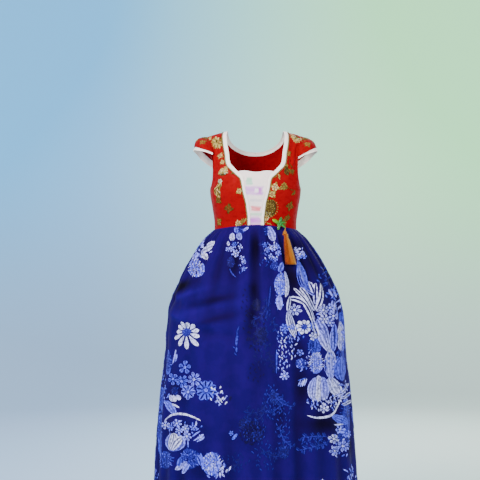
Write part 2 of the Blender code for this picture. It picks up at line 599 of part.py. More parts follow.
RED, WHITE, BLUE = (0.42, 0.008, 0.008), (0.80, 0.77, 0.70), (0.010, 0.013, 0.155)
BODY_MIDDLE, ARM_MIDDLE = (0.0, 0.0, -0.15), (0.150, 0.005, -0.110)

front = bodice_piece(FRONT_ROWS, True, 9)
back = bodice_piece(BACK_ROWS, False, 10)
for side, turned in (("left", front), ("right", flip(front))):
    sheet("bodice_front_" + side, turned, BODICE_CLOTH, material("red_brocade_front_" + side, RED, 0.55),
          BODY_MIDDLE)
sheet("bodice_back", back, BODICE_CLOTH, material("red_brocade_back", RED, 0.55), BODY_MIDDLE, mirrored=True)

for side, cap in CAPS.items():
    grid, psi = cap_points(cap, front, back)
    cuff = cuff_points(grid, psi)
    middle = (ARM_MIDDLE[0] * cap["side"], ARM_MIDDLE[1], ARM_MIDDLE[2])
    if cap["side"] < 0:
        grid, cuff = flip(grid), flip(cuff)
    sheet("cap_sleeve_" + side, grid, BODICE_CLOTH, material("red_brocade_cap_" + side, RED, 0.55), middle)
    sheet("cuff_" + side, cuff, WHITE_CLOTH, material("white_silk_cuff_" + side, WHITE, 0.6), middle)

path = neck_path()
width = collar_width(len(path))
sheet("collar_strip", strip_beside(path, GAP, width, 0.0, 4), WHITE_CLOTH,
      material("white_silk_collar", WHITE, 0.5), BODY_MIDDLE, mirrored=True)
path[0, 1] = turn_at(path[0, 0], BRAID_END, True)
sheet("front_braid", strip_beside(path, -GAP, -BRAID_WIDTH, GAP + BRAID_CLOTH, 3), BRAID_CLOTH,
      material("gold_braid", (0.30, 0.22, 0.07), 0.45, 0.4), BODY_MIDDLE, mirrored=True)
sheet("chest_panel", panel_points(), WHITE_CLOTH, material("white_silk_panel", WHITE, 0.6), BODY_MIDDLE)

for panel, first in SKIRT_PANELS:
    sheet(panel, skirt_panel(first), SKIRT_CLOTH, material("blue_silk_" + panel[6:], BLUE, 0.5),
          (0.0, 0.0, -0.8))

jade_leaves(material("jade", (0.04, 0.42, 0.10), 0.25))
tassel(material("amber_silk", (0.62, 0.20, 0.03), 0.5))
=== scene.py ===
"""Looks of the Korean hanbok dress: red brocade bodice, white silk strip, panel and cuffs, gathered blue
skirt with woven flowers, jade leaves and an amber silk tassel.

Every cloth is a grid of points worked out from the same sizes as the solids, then given its small creases,
a thin wall and its own weave.  Flowers are woven figures: fields of petals laid on the cloth's own grid."""
import math

import bpy
import numpy as np
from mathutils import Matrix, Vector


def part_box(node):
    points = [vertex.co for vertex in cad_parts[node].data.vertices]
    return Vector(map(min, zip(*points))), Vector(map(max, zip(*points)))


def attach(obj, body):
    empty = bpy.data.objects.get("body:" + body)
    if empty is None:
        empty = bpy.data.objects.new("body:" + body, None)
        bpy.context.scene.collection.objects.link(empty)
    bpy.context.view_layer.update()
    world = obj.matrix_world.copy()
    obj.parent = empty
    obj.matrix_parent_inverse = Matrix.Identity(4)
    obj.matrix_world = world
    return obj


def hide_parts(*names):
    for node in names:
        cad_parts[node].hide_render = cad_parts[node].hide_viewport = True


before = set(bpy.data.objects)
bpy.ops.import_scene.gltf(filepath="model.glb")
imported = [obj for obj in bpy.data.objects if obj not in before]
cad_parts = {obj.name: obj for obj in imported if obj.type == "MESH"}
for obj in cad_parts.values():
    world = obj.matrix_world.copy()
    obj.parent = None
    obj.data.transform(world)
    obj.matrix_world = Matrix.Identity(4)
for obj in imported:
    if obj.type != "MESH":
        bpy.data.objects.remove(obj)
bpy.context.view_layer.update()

# ---------------- camera
FRAME, LENS, SENSOR = 480, 84.1, 36  # the frame's width in steps, lens and sensor in mm
FOCAL = FRAME * LENS / SENSOR  # the lens in the frame's steps
CAMERA_PLACE, CAMERA_RISE = (-0.051, -3.7, -0.485), 2.04  # metres, and degrees above level
camera_data = bpy.data.cameras.new("camera")
camera_data.sensor_width, camera_data.lens = SENSOR, LENS
camera = bpy.data.objects.new("camera", camera_data)
camera.location = CAMERA_PLACE
camera.rotation_euler = (math.radians(90 + CAMERA_RISE), 0, 0)
bpy.context.scene.collection.objects.link(camera)
bpy.context.scene.camera = camera

# ---------------- sizes shared with the solids
GAP = 0.0003  # left between one piece and the next
# the shoulder line: its depth, its top, its fall, the radius it rolls over with, exponent of the oval
RIDGE_Y, RIDGE_TOP, RIDGE_FALL, ROLL, ROUNDNESS = 0.005, 0.0165, 1.1, 0.095, 2.3
BODICE_CLOTH, WHITE_CLOTH, BRAID_CLOTH, SKIRT_CLOTH = 0.0014, 0.0011, 0.0009, 0.0012
# height, half width, depth in front, depth behind
BODY = ((-.36, .135, .097, .082), (-.303, .135, .099, .082), (-.25, .1415, .11, .09),
        (-.195, .15, .12, .098), (-.16, .1512, .117, .098), (-.12, .154, .104, .094),
        (-.06, .16, .076, .078), (.03, .168, .07, .072))
SIDE = 1  # a row that ends on the side seam
# inner edge x and height, outer edge x and height
FRONT_ROWS = (
    (.0263, -.314, SIDE, -.328), (.0262, -.303, SIDE, -.316), (.0262, -.286, SIDE, -.29),
    (.029, -.262, SIDE, -.262), (.032, -.2386, SIDE, -.238), (.0375, -.2175, SIDE, -.215),
    (.0426, -.1975, SIDE, -.195), (.0455, -.178, .1455, -.177), (.05, -.16, .1418, -.16),
    (.064, -.1455, .1396, -.146), (.08, -.1294, .1384, -.13), (.0915, -.1165, .138, -.1165),
    (.097, -.101, .138, -.101), (.1, -.0757, .1382, -.08), (.1044, -.0496, .139, -.061),
    (.107, -.03, .1435, -.042), (.108, -.013, .1505, -.0265), (.1068, -.001, .1565, -.0165),
    (.1053, .0038, .1592, -.0119), (.1045, .0045, .16, -.0117))
BACK_ROWS = (
    (0, -.322, SIDE, -.328), (0, -.286, SIDE, -.29), (0, -.25, SIDE, -.252), (0, -.215, SIDE, -.215),
    (0, -.185, SIDE, -.195), (0, -.155, .1455, -.172), (0, -.122, .1433, -.148), (0, -.09, .1425, -.124),
    (0, -.068, .1425, -.104), (.022, -.0662, .143, -.09), (.045, -.0605, .1436, -.078),
    (.066, -.051, .1445, -.065), (.084, -.038, .1465, -.051), (.096, -.0225, .15, -.037),
    (.102, -.007, .1545, -.022), (.1042, .0038, .1592, -.0119), (.1045, .0045, .16, -.0117))
NECK_ROW = 8  # the back's row at the middle of the neck
# cap sleeves: the hem's tip, the bulge above it, the hem's two ends, the front's row where the seam starts
CAPS = {"left": {"side": 1, "tip": (.203, -.047), "bulge": (.195, -.018), "front_end": -.083,
                 "back_end": -.088, "first_row": 13},
        "right": {"side": -1, "tip": (.203, -.045), "bulge": (.201, -.01), "front_end": -.069,
                  "back_end": -.086, "first_row": 14}}
ARM_OUT = np.array([0.3, 0, 1])  # up and outwards, as the cap sleeves face
CAP_FRONT_REACH, CAP_BACK_REACH, CAP_ROOT_X, CAP_LAST_ROW = 0.058, 0.062, 0.139, 10
CUFF_FRONT, CUFF_TIP, CUFF_BACK, CUFF_GAP = 0.006, 0.013, 0.024, 0.001
COLLAR_LOW, COLLAR_NECK, BRAID_WIDTH, BRAID_END = 0.008, 0.0135, 0.0034, -0.3068
PANEL_TUCK, PANEL_GAP, PANEL_TOP, PANEL_RISE = 0.006, 0.0004, -0.1375, 0.005
# drop below the waist seam, half width, front depth, back depth, exponent of the oval
SKIRT = (
    (0, .1386, .1022, .0857, 2.3), (.01, .1505, .1125, .0975, 2.28), (.027, .17, .127, .115, 2.24),
    (.042, .182, .137, .127, 2.2), (.09, .213, .162, .159, 2.14), (.125, .233, .179, .18, 2.12),
    (.172, .257, .201, .205, 2.1), (.225, .279, .223, .228, 2.08), (.257, .286, .232, .238, 2.08),
    (.312, .292, .242, .248, 2.07), (.408, .299, .253, .257, 2.06), (.494, .309, .264, .268, 2.05),
    (.609, .32, .276, .28, 2.04), (.715, .327, .285, .288, 2.04), (1.025, .345, .303, .306, 2.03))
WAIST_FRONT, WAIST_SIDE, WAIST_BACK, HEM, SKIRT_DROP = -0.308, -0.321, -0.316, -1.343, 1.025
# angle of each trough at the waist and the hem, then its depth at the gathers, the hip and the hem
FOLDS = (
    (-1, .5, 1, 1, .5), (11.6, 10.6, .6, .3, .9), (24.3, 23.2, 1, 1.1, 1.2), (40.4, 38, 1.1, 1.3, .6),
    (55.5, 54, .7, .6, .9), (71.5, 70, .9, .7, .7), (87, 86, .9, .6, 1.1), (102, 102, 1, .8, .9),
    (117, 118, .8, 1.1, .6), (133, 132, 1.1, .7, 1.2), (147, 148, 1, 1.2, .7), (163, 162, .9, .8, 1),
    (178, 179, 1.2, 1.1, .8), (194, 193, .9, .7, 1.1), (209, 210, 1, 1.2, .6), (225, 224, 1.1, .8, 1.2),
    (240, 241, .8, 1, .8), (256, 255, 1.1, .9, 1), (271, 272, .9, .6, .8), (284, 286, .8, .5, 1),
    (298, 300, .7, .3, .7), (313, 315, .7, .3, .9), (329, 330.5, .6, .4, .5), (344.5, 346, .7, .4, .8))
# drop, depth of the folds' troughs there, depth of the gathers between them
FOLD_DEPTH = (
    (0, .0012, .0011), (.012, .005, .0036), (.034, .009, .0046), (.07, .012, .0036), (.115, .013, .0018),
    (.165, .0125, .0004), (.225, .01, 0), (.3, .007, 0), (.45, .0055, 0), (.7, .0075, 0), (1.025, .011, 0))
GATHERS = len(FOLDS)  # folds round the skirt
# soft creases of the skirt: place in folds, drop, half width in folds, half height, lean, depth (+ is inward)
CREASES = (
    (-5.3, .205, .9, .026, .03, .012), (-3.9, .226, 1.3, .016, .016, -.005),
    (-2.6, .25, 1.2, .02, .012, .008), (-3.5, .29, 1.9, .018, .014, -.0064),
    (-2.4, .328, 1.5, .018, .012, .006), (-1.7, .15, .4, .08, 0, .003), (-2.9, .42, 1.6, .04, .02, .0016),
    (0, .08, .26, .04, 0, .006), (.05, .235, .24, .036, 0, .006), (-.1, .32, .22, .034, 0, .005),
    (2.2, .17, .24, .05, 0, .006), (3.1, .15, .34, .06, 0, .007), (1.2, .56, .5, .2, 0, .002),
    (2.3, .5, .34, .08, 0, .004), (4.6, .25, 1, .02, -.012, .004), (8, .24, 1.6, .022, .01, .0044),
    (9.4, .31, 1.3, .018, -.01, -.003), (12.3, .235, 1.7, .02, -.008, .0046),
    (13.6, .33, 1.2, .02, .012, .0034), (16.4, .245, 1.5, .024, .012, .0042),
    (17.6, .35, 1.2, .02, -.012, -.003))
# the jade: x and height of its centre; then each leaf's angle, length and half width in degrees
JADE_CENTRE, JADE_TILT, JADE_YAW = (0.077, -0.303), math.radians(19), math.radians(14)
JADE_LEAVES = ((151, .027, 22), (72, .024, 20), (14, .019, 18), (-40, .024, 16), (250, .024, 20))

# ---------------- forms
def unit(vectors):
    """The same directions with a length of one."""
    return vectors / np.maximum(np.linalg.norm(vectors, axis=-1, keepdims=True), 1e-15)


def points_at(*parts):
    """Points from their coordinates, each a number or an array."""
    return np.stack(np.broadcast_arrays(*parts), axis=-1)


def in_steps(want, first, second):
    """How many steps of two directions lead to each wanted vector: least squares by the determinant."""
    ff, ss, fs = (first * first).sum(1), (second * second).sum(1), (first * second).sum(1)
    wf, ws = (want * first).sum(1), (want * second).sum(1)
    det = ff * ss - fs * fs
    return (wf * ss - ws * fs) / det, (ws * ff - wf * fs) / det


def smooth(table, column, at):
    """Value of a table's column at a place in its first column: cubic pieces without overshoot."""
    rows = np.array(table, dtype=float)
    key, val = rows[:, 0], rows[:, column]
    step = np.diff(key)
    slope = np.diff(val) / step
    pair = slope[:-1] * slope[1:]
    total = np.where(np.abs(slope[:-1] + slope[1:]) < 1e-12, 1, slope[:-1] + slope[1:])
    ease = np.concatenate(([slope[0]], np.where(pair > 0, 2 * pair / total, 0), [slope[-1]]))
    at = np.asarray(at, dtype=float)
    i = np.clip(np.searchsorted(key, at) - 1, 0, len(key) - 2)
    t = np.clip((at - key[i]) / step[i], 0, 1)
    return (val[i] * (1 + 2 * t) * (1 - t) ** 2 + val[i + 1] * t * t * (3 - 2 * t)
            + step[i] * (ease[i] * t * (1 - t) ** 2 - ease[i + 1] * t * t * (1 - t)))


def ridge(x):
    """Height of the shoulder line: its top less a fall with the square of x."""
    return RIDGE_TOP - RIDGE_FALL * np.asarray(x) ** 2


def body(x, turn):
    """Point of the bodice: the height falls with 1 - cos of the turn over the shoulder, the depth swings
    from the shoulder line to the oval with its sine, and below a quarter turn the cloth hangs as the oval."""
    x, turn = np.broadcast_arrays(np.asarray(x, dtype=float), np.asarray(turn, dtype=float))
    over = np.minimum(np.abs(turn), math.pi / 2)
    z = ridge(x) - ROLL * (1 - np.cos(over)) - ROLL * (np.abs(turn) - over)
    share = np.clip(np.abs(x) / smooth(BODY, 1, z), 0, 1)
    reach = (1 - share ** ROUNDNESS) ** (1 / ROUNDNESS)
    hang = np.where(turn > 0, -smooth(BODY, 2, z), smooth(BODY, 3, z)) * reach
    return points_at(x, RIDGE_Y + (hang - RIDGE_Y) * np.sin(over), z)


def turn_at(x, z, front):
    """The turn at which the bodice passes height z at x, on the front or the back."""
    down = (ridge(x) - z) / ROLL
    turn = np.where(down < 1, np.arccos(np.clip(1 - down, -1, 1)), math.pi / 2 + down - 1)
    return turn if front else -turn


def slopes(x, turn):
    """How the bodice runs sideways and downwards at a point, and its outward normal, by small steps."""
    step = 1e-4
    across = (body(x + step, turn) - body(x - step, turn)) / (2 * step)
    down = (body(x, turn + step) - body(x, turn - step)) / (2 * step)
    return across, down, unit(np.cross(down, across))


def between_rows(rows, column, at):
    """A column of a row table at places between its rows."""
    values = np.array(rows)[:, column]
    return smooth(np.stack([np.arange(len(values)), values], axis=1), 1, at)


def bodice_grid(rows, front, at, columns):
    """Grid of a bodice piece on the wearer's left: rows at the given places of its table, evenly spaced in
    angle round the oval between their two ends, bent to the shoulder line where they come near it."""
    table = np.array(rows)
    wide_in = smooth(BODY, 1, table[:, 1])
    wide_out = smooth(BODY, 1, table[:, 3])
    theta_in = np.arcsin(np.minimum(1, table[:, 0] / wide_in) ** (ROUNDNESS / 2))
    theta_out = np.arcsin(np.minimum(1, table[:, 2] / wide_out) ** (ROUNDNESS / 2))
    angles = np.stack([theta_in, theta_out], axis=1)
    along = np.linspace(0, 1, columns)[None, :]
    t_in, t_out = between_rows(angles, 0, at)[:, None], between_rows(angles, 1, at)[:, None]
    x_in, z_in = between_rows(rows, 0, at)[:, None], between_rows(rows, 1, at)[:, None]
    z_out = between_rows(rows, 3, at)[:, None]
    x_out = smooth(BODY, 1, z_out) * np.sin(t_out) ** (2 / ROUNDNESS)
    theta = t_in + (t_out - t_in) * along
    straight = z_in + (z_out - z_in) * along
    shoulder = ridge(x_in) + (ridge(x_out) - ridge(x_in)) * along
    near = np.clip(1 - (ridge(x_in) - z_in) / ROLL, 0, 1) ** 2
    z = straight
    for _ in range(4):
        x = smooth(BODY, 1, z) * np.sin(theta) ** (2 / ROUNDNESS)
        z = straight + (ridge(x) - shoulder) * near
    grid = body(x, turn_at(x, z, front))
    last = at >= len(rows) - 1 - 1e-9
    grid[last, :, 1] = RIDGE_Y
    grid[last, :, 2] = ridge(grid[last, :, 0])
    return grid


def normals_of(grid, outwards):
    """Unit normals of a grid from its row and column steps, turned to the side of the given vectors."""
    normal = unit(np.cross(np.gradient(grid, axis=1), np.gradient(grid, axis=0)))
    return normal if (normal * outwards).sum() > 0 else -normal


def row_places(rows, steps, first=0):
    """Places between the rows of a table, some steps for each row, from a row on."""
    last = len(rows) - 1
    return np.linspace(first, last, (last - first) * steps + 1)


def neck_path(steps):
    """x and turn along the collar seam in small steps: front edge, shoulder, round to the centre back."""
    front_at, back_at = row_places(FRONT_ROWS, steps), row_places(BACK_ROWS, steps, NECK_ROW)[::-1][1:]
    path = []
    for rows, at, front in ((FRONT_ROWS, front_at, True), (BACK_ROWS, back_at, False)):
        x, z = between_rows(rows, 0, at), between_rows(rows, 1, at)
        path.append(np.stack([x, turn_at(x, z, front)], axis=1))
    path = np.concatenate(path)
    rows = np.concatenate([front_at, len(FRONT_ROWS) - 1 + (len(BACK_ROWS) - 1 - back_at)])
    places = body(path[:, 0], path[:, 1])
    keep = np.concatenate([[True], np.linalg.norm(np.diff(places, axis=0), axis=1) > 0.0006])
    keep[-1] = True
    return path[keep], rows[keep]


def beside_path(path, width):
    """x and turn of points beside the collar seam, the given width towards the neck opening: the step is
    at right angles to the seam, solved on the bodice's own two directions."""
    mirrored = np.array([[-path[-2, 0], path[-2, 1]]])
    ends = np.vstack([2 * path[:1] - path[1:2], path, mirrored])
    places = body(ends[:, 0], ends[:, 1])
    across, down, normal = slopes(path[:, 0], path[:, 1])
    inwards = np.cross(normal, places[2:] - places[:-2])
    inwards *= (np.asarray(width) / np.linalg.norm(inwards, axis=1))[:, None]
    moved = path + np.stack(in_steps(inwards, across, down), axis=1)
    moved[-1, 0] = 0
    return moved


def strip_beside(path, near, far, lift):
    """Grid of a strip beside the collar seam from near to far, lifted off the bodice by a crowned amount."""
    grid = []
    for share, rise in zip(np.linspace(0, 1, len(lift)), lift):
        place = beside_path(path, np.asarray(near) * (1 - share) + np.asarray(far) * share)
        points = body(place[:, 0], place[:, 1]) + slopes(place[:, 0], place[:, 1])[2] * rise
        points[-1, 0] = 0
        grid.append(points)
    return np.stack(grid, axis=1)


def both_halves(half):
    """The whole of a piece made as its left half, whose last row or first column is the centre line."""
    return np.concatenate([half, half[::-1][1:] * np.array([-1, 1, 1])])


def cap_grid(cap, rows_each, columns):
    """Grid of a cap sleeve on the wearer's left: from each point of the armhole seam a bent line runs out
    over the arm to an oval hem; returned with the angle round the arm."""
    front_at = np.linspace(cap["first_row"], len(FRONT_ROWS) - 1, rows_each)
    back_at = np.linspace(len(BACK_ROWS) - 1, CAP_LAST_ROW, rows_each)[1:]
    front_edge = bodice_grid(FRONT_ROWS, True, front_at, 3)[:, -1]
    back_edge = bodice_grid(BACK_ROWS, False, back_at, 3)[:, -1]
    seam = np.concatenate([front_edge, back_edge])
    psi = np.radians(np.concatenate([np.linspace(-90, 0, rows_each), np.linspace(0, 90, rows_each)[1:]]))
    lobe, drop = np.cos(psi), 1 - np.cos(psi)
    end = np.where(psi < 0, cap["front_end"], cap["back_end"])
    reach = np.where(psi < 0, CAP_FRONT_REACH, CAP_BACK_REACH)
    (tip_x, tip_z), (bulge_x, bulge_z) = cap["tip"], cap["bulge"]
    hem = points_at(CAP_ROOT_X + (tip_x - CAP_ROOT_X) * lobe, RIDGE_Y + reach * np.sin(psi),
                    tip_z + (end - tip_z) * drop)
    x, y, z = (seam + hem).T / 2
    over = points_at(x + (bulge_x - x) * lobe, y + 0.004 * np.sign(psi) * (1 - lobe),
                     z + (bulge_z - z) * lobe)
    t = np.linspace(0, 1, columns)[None, :, None]
    seam, over, hem = seam[:, None], over[:, None], hem[:, None]
    return seam * (1 - t) ** 2 + over * 2 * t * (1 - t) + hem * t * t, psi


def cuff_grid(cap_points, psi):
    """Grid of a cuff: tucked inside the cap sleeve, then out and down below its hem, longest behind."""
    inside = cap_points - normals_of(cap_points, ARM_OUT) * (BODICE_CLOTH + CUFF_GAP)
    width = CUFF_TIP + (np.where(psi < 0, CUFF_FRONT, CUFF_BACK) - CUFF_TIP) * np.sin(psi) ** 2
    out = unit(points_at(0.45 * np.cos(psi), 0.22 * np.sin(psi), -1))
    flare = [inside[:, -1] + out * (width * s)[:, None] for s in np.linspace(0, 1, 9)[1:]]
    grid = np.stack([inside[:, -3], inside[:, -2], inside[:, -1]] + flare, axis=1)
    grid[:, 3:, 0] += 0.0012 * np.sin(psi * 7 + 0.6)[:, None] * np.linspace(0.1, 1, 8)[None, :]
    return grid


def waist_seam(phi):
    """Height of the waist seam round the body: highest at the centre front."""
    swing = np.abs(np.sin(phi))
    return np.where(np.cos(phi) > 0, WAIST_FRONT + (WAIST_SIDE - WAIST_FRONT) * swing ** 1.3,
                    WAIST_SIDE + (WAIST_BACK - WAIST_SIDE) * (1 - swing ** 2))


def fold_value(q, column):
    """Column of the fold table at a place counted in folds: angles run straight on from neighbour to
    neighbour and past a full turn, depths are eased."""
    table = np.array(FOLDS)[:, column]
    low = np.floor(q).astype(int)
    part = q - low
    here, following = table[low % GATHERS], table[(low + 1) % GATHERS]
    if column < 2:
        here = here + 360 * np.floor_divide(low, GATHERS)
        following = following + 360 * np.floor_divide(low + 1, GATHERS)
    else:
        part = part * part * (3 - 2 * part)
    return here * (1 - part) + following * part


def fold_angle(q, drop):
    """Angle round the body of a place on the skirt: the folds run straight from waist to hem."""
    low = np.clip(drop / SKIRT_DROP, 0, 1)
    return np.radians(fold_value(q, 0) * (1 - low) + fold_value(q, 1) * low)


def uneven(q, drop, seed, waves, long_q, long_drop):
    """Soft unevenness from -1 to 1: a sum of slanted waves whose phases come from a seed."""
    draw = np.random.default_rng(seed)
    total = 0
    for _ in range(waves):
        turns = draw.integers(1, 1 + int(GATHERS / long_q)) * (1 if draw.random() < 0.5 else -1)
        total = total + np.sin(2 * np.pi * (turns * q / GATHERS + drop / long_drop * draw.uniform(-1, 1)
                                            + draw.random()))
    return total / waves ** 0.5 * 0.7


def hollow(q, drop):
    """How far the skirt lies inside its oval: the troughs of the folds, which sway a little, the gathers,
    fine pleats right under the seam, the placed creases and a little unevenness."""
    swayed = q + 0.05 * uneven(q, drop, 3, 5, 3, 1.2) * np.clip(drop / 0.15, 0, 1)
    to_hip = np.clip((drop - 0.02) / 0.16, 0, 1)
    to_hem = np.clip((drop - 0.3) / 0.45, 0, 1)
    share = fold_value(swayed, 2) * (1 - to_hip) + fold_value(swayed, 3) * to_hip
    share = share * (1 - to_hem) + fold_value(swayed, 4) * to_hem
    trough = (0.5 + 0.5 * np.cos(2 * np.pi * swayed)) ** 1.4
    gather = (0.5 + 0.5 * np.cos(4 * np.pi * swayed)) * (1 - trough)
    inwards = smooth(FOLD_DEPTH, 1, drop) * share * trough + smooth(FOLD_DEPTH, 2, drop) * gather * 0.7
    fine = np.clip(drop / 0.006, 0, 1) * np.exp(-drop / 0.026)
    pleats = 0.5 + 0.5 * np.cos(2 * np.pi * swayed * 5 + 2 * uneven(q, drop, 8, 3, 2, 9))
    inwards = inwards + 0.0009 * fine * pleats
    for place, at, half_q, half_drop, lean, depth in CREASES:
        away = np.mod(q - place + GATHERS / 2, GATHERS) - GATHERS / 2
        bend = drop - at - lean * away
        inwards = inwards + depth * np.exp(-(bend / half_drop) ** 2 - (away / half_q) ** 2)
    calm = np.clip(drop / 0.08, 0, 1)
    inwards = inwards + 0.0016 * calm * uneven(q, drop, 11, 6, 2, 0.5)
    return inwards + 0.0007 * calm * uneven(q, drop, 12, 7, 0.8, 0.16)


def oval(q, drop):
    """Point of the skirt's oval, at a place counted in folds round it and a drop below the waist seam,
    before its folds are pushed in; with its half width and depth there."""
    q, drop = np.broadcast_arrays(np.asarray(q, dtype=float), np.asarray(drop, dtype=float))
    phi = fold_angle(q, drop)
    sin, cos = np.sin(phi), np.cos(phi)
    power, wide = 2 / smooth(SKIRT, 4, drop), smooth(SKIRT, 1, drop)
    deep = np.where(cos > 0, smooth(SKIRT, 2, drop), smooth(SKIRT, 3, drop))
    seam = waist_seam(phi)
    return points_at(wide * np.sign(sin) * np.abs(sin) ** power, -deep * np.sign(cos) * np.abs(cos) ** power,
                     seam + (HEM - seam) * np.clip(drop / SKIRT_DROP, 0, 1)), wide, deep


def skirt(q, drop):
    """Point of the skirt: the oval's, pushed in at right angles to the oval by the hollows there."""
    place, wide, deep = oval(q, drop)
    out = unit(points_at(place[..., 0] / wide ** 2, place[..., 1] / deep ** 2))
    place[..., :2] -= hollow(q, drop)[..., None] * out
    return place


# ---------------- meshes
def quads(index):
    """The four-sided faces between the neighbouring points of a grid of numbers."""
    return np.stack([index[:-1, :-1], index[:-1, 1:], index[1:, 1:], index[1:, :-1]], axis=-1).reshape(-1, 4)


def weld(grids):
    """Points and faces of one or more grids of points, with points that share a place made one."""
    points, faces, start = [], [], 0
    for grid in grids:
        count = grid.shape[0] * grid.shape[1]
        points.append(grid.reshape(count, -1))
        faces.append(quads(start + np.arange(count).reshape(grid.shape[:2])))
        start += count
    points, faces = np.concatenate(points), np.concatenate(faces)
    _, first, back = np.unique(np.round(points[:, :3], 6), axis=0, return_index=True, return_inverse=True)
    return points[first], back.reshape(-1)[faces]


def face_normals(points, faces):
    """Normals of four-sided faces: the cross product of their two diagonals."""
    return np.cross(points[faces[:, 2]] - points[faces[:, 0]], points[faces[:, 3]] - points[faces[:, 1]])


def point_normals(points, faces):
    """Unit normals of points: the sum of the normals of the faces round each."""
    total = np.zeros_like(points)
    for corner in range(4):
        np.add.at(total, faces[:, corner], face_normals(points, faces))
    return unit(total)


def looks_out(points, faces, middle):
    """Whether the faces look away from a middle, or from a middle of each face's own."""
    return (face_normals(points, faces) * (points[faces].mean(axis=1) - middle)).sum() > 0


def close(outer, inner, faces):
    """A closed shell: the outer points' faces, the same turned round on the inner points, and a rim on the
    open edges, which are the edges that run one way only; the rim's own edges come with it."""
    count = len(outer)
    ends = np.stack([faces, np.roll(faces, -1, axis=1)], axis=-1).reshape(-1, 2)
    there, back = ends[:, 0] * count + ends[:, 1], ends[:, 1] * count + ends[:, 0]
    rim = ends[~np.isin(there, back)]
    sides = np.stack([rim[:, 1], rim[:, 0], rim[:, 0] + count, rim[:, 1] + count], axis=1)
    return (np.concatenate([outer, inner]), np.concatenate([faces, faces[:, ::-1] + count, sides]),
            np.concatenate([rim, rim + count]))


def add_object(name, points, faces, finish, uv=None, dye=None, sharp=None):
    """An object made from arrays: a UV and a colour for each point, sharp edges given by their ends."""
    mesh = bpy.data.meshes.new(name)
    count = len(faces)
    mesh.vertices.add(len(points))
    mesh.vertices.foreach_set("co", np.float32(points).ravel())
    mesh.loops.add(count * 4)
    mesh.loops.foreach_set("vertex_index", np.int32(faces).ravel())
    mesh.polygons.add(count)
    mesh.polygons.foreach_set("loop_start", np.arange(0, count * 4, 4, dtype=np.int32))
    mesh.update(calc_edges=True)
    mesh.shade_smooth()
    if uv is not None:
        layer = mesh.uv_layers.new(name="cloth")
        layer.data.foreach_set("uv", np.float32(uv[faces.ravel()]).ravel())
    if dye is not None:
        layer = mesh.color_attributes.new(name="dye", type="FLOAT_COLOR", domain="POINT")
        full = np.concatenate([dye, np.ones((len(dye), 1))], axis=1)[:, :4]
        layer.data.foreach_set("color", np.float32(full).ravel())
    if sharp is not None:
        ends = np.empty(len(mesh.edges) * 2, dtype=np.int32)
        mesh.edges.foreach_get("vertices", ends)
        edges, rims = (np.sort(pairs, axis=1).astype(np.int64) @ [len(points), 1]
                       for pairs in (ends.reshape(-1, 2), sharp))
        mesh.attributes.new("sharp_edge", "BOOLEAN", "EDGE").data.foreach_set("value", np.isin(edges, rims))
    mesh.validate()
    mesh.materials.append(finish)
    made = bpy.data.objects.new(name, mesh)
    bpy.context.scene.collection.objects.link(made)
    return made


def add_piece(name, points, faces, finish, slot, nodes=(), **layers):
    """A piece of the dress: its object, attached to the root body, with the solids that it stands for hidden;
    slot is not used.
    """
    piece = add_object(name, points, faces, finish, **layers)
    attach(piece, "root")
    if nodes:
        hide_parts(*nodes)
    return piece


def cloth_piece(name, grids, thickness, finish, slot, node, middle):
    """A piece of cloth from grids whose points carry their place, their UV in metres and, where given, a
    colour that holds painted shade; its outer side looks away from the middle."""
    points, faces = weld(grids)
    dye = np.tile(points[:, 5:8], (2, 1)) if points.shape[1] > 5 else None
    uv, points = points[:, 3:5], points[:, :3]
    faces = faces if looks_out(points, faces, middle) else faces[:, ::-1]
    walled, faces, sharp = close(points, points - point_normals(points, faces) * thickness, faces)
    return add_piece(name, walled, faces, finish, slot, (node,), uv=np.tile(uv, (2, 1)), dye=dye, sharp=sharp)


def with_uv(grid):
    """The grid with its UV beside it: metres along its middle row and down its middle column."""
    rows, columns = grid.shape[:2]
    u, v = (np.append(0, np.cumsum(np.linalg.norm(np.diff(line, axis=0), axis=1)))
            for line in (grid[rows // 2], grid[:, columns // 2]))
    return np.dstack([grid, *np.meshgrid(u, v)])


def flip(grid):
    """The same grid for the wearer's right side."""
    return grid * np.array([-1] + [1] * (grid.shape[-1] - 1))


def area_of(grid):
    """Surface of a grid in square metres."""
    one = np.cross(grid[1:, 1:] - grid[:-1, :-1], grid[1:, :-1] - grid[:-1, 1:])
    return 0.5 * np.linalg.norm(one, axis=-1).sum()


# ---------------- finishes
class Wire:
    """A socket in a material; sums and products on it become Math nodes."""

    def __init__(self, tree, socket):
        self.tree, self.socket = tree, socket

    def math(self, operation, *values):
        """A Math node on the given values or wires."""
        return add_node(self.tree, "Math", dict(enumerate(values)), operation=operation)

    def __add__(self, other):
        return self.math("ADD", self, other)

    def __sub__(self, other):
        return self.math("SUBTRACT", self, other)

    def __rsub__(self, other):
        return self.math("SUBTRACT", other, self)

    def __mul__(self, other):
        return self.math("MULTIPLY", self, other)

    __radd__, __rmul__ = __add__, __mul__

    def __abs__(self):
        return self.math("ABSOLUTE", self)

    def wave(self, turns=1, start=0):
        """From 0 to 1 and back, the given number of times for each unit."""
        return self.math("SINE", self * (2 * math.pi * turns) + start) * 0.5 + 0.5

    def step(self, low, high):
        """0 below the first value, 1 above the second, smooth between them."""
        return add_node(self.tree, "MapRange", {"Value": self, "From Min": low, "From Max": high},
                        interpolation_type="SMOOTHSTEP")


def add_node(tree, kind, sockets, output=0, **settings):
    """One node: its settings first, then the values or wires of its inputs; gives a wire of its output."""
    node = tree.nodes.new("ShaderNode" + kind)
    for key, value in settings.items():
        setattr(node, key, value)
    for key, value in sockets.items():
        if isinstance(value, Wire):
            tree.links.new(value.socket, node.inputs[key])
        else:
            node.inputs[key].default_value = value
    return Wire(tree, node.outputs[output])


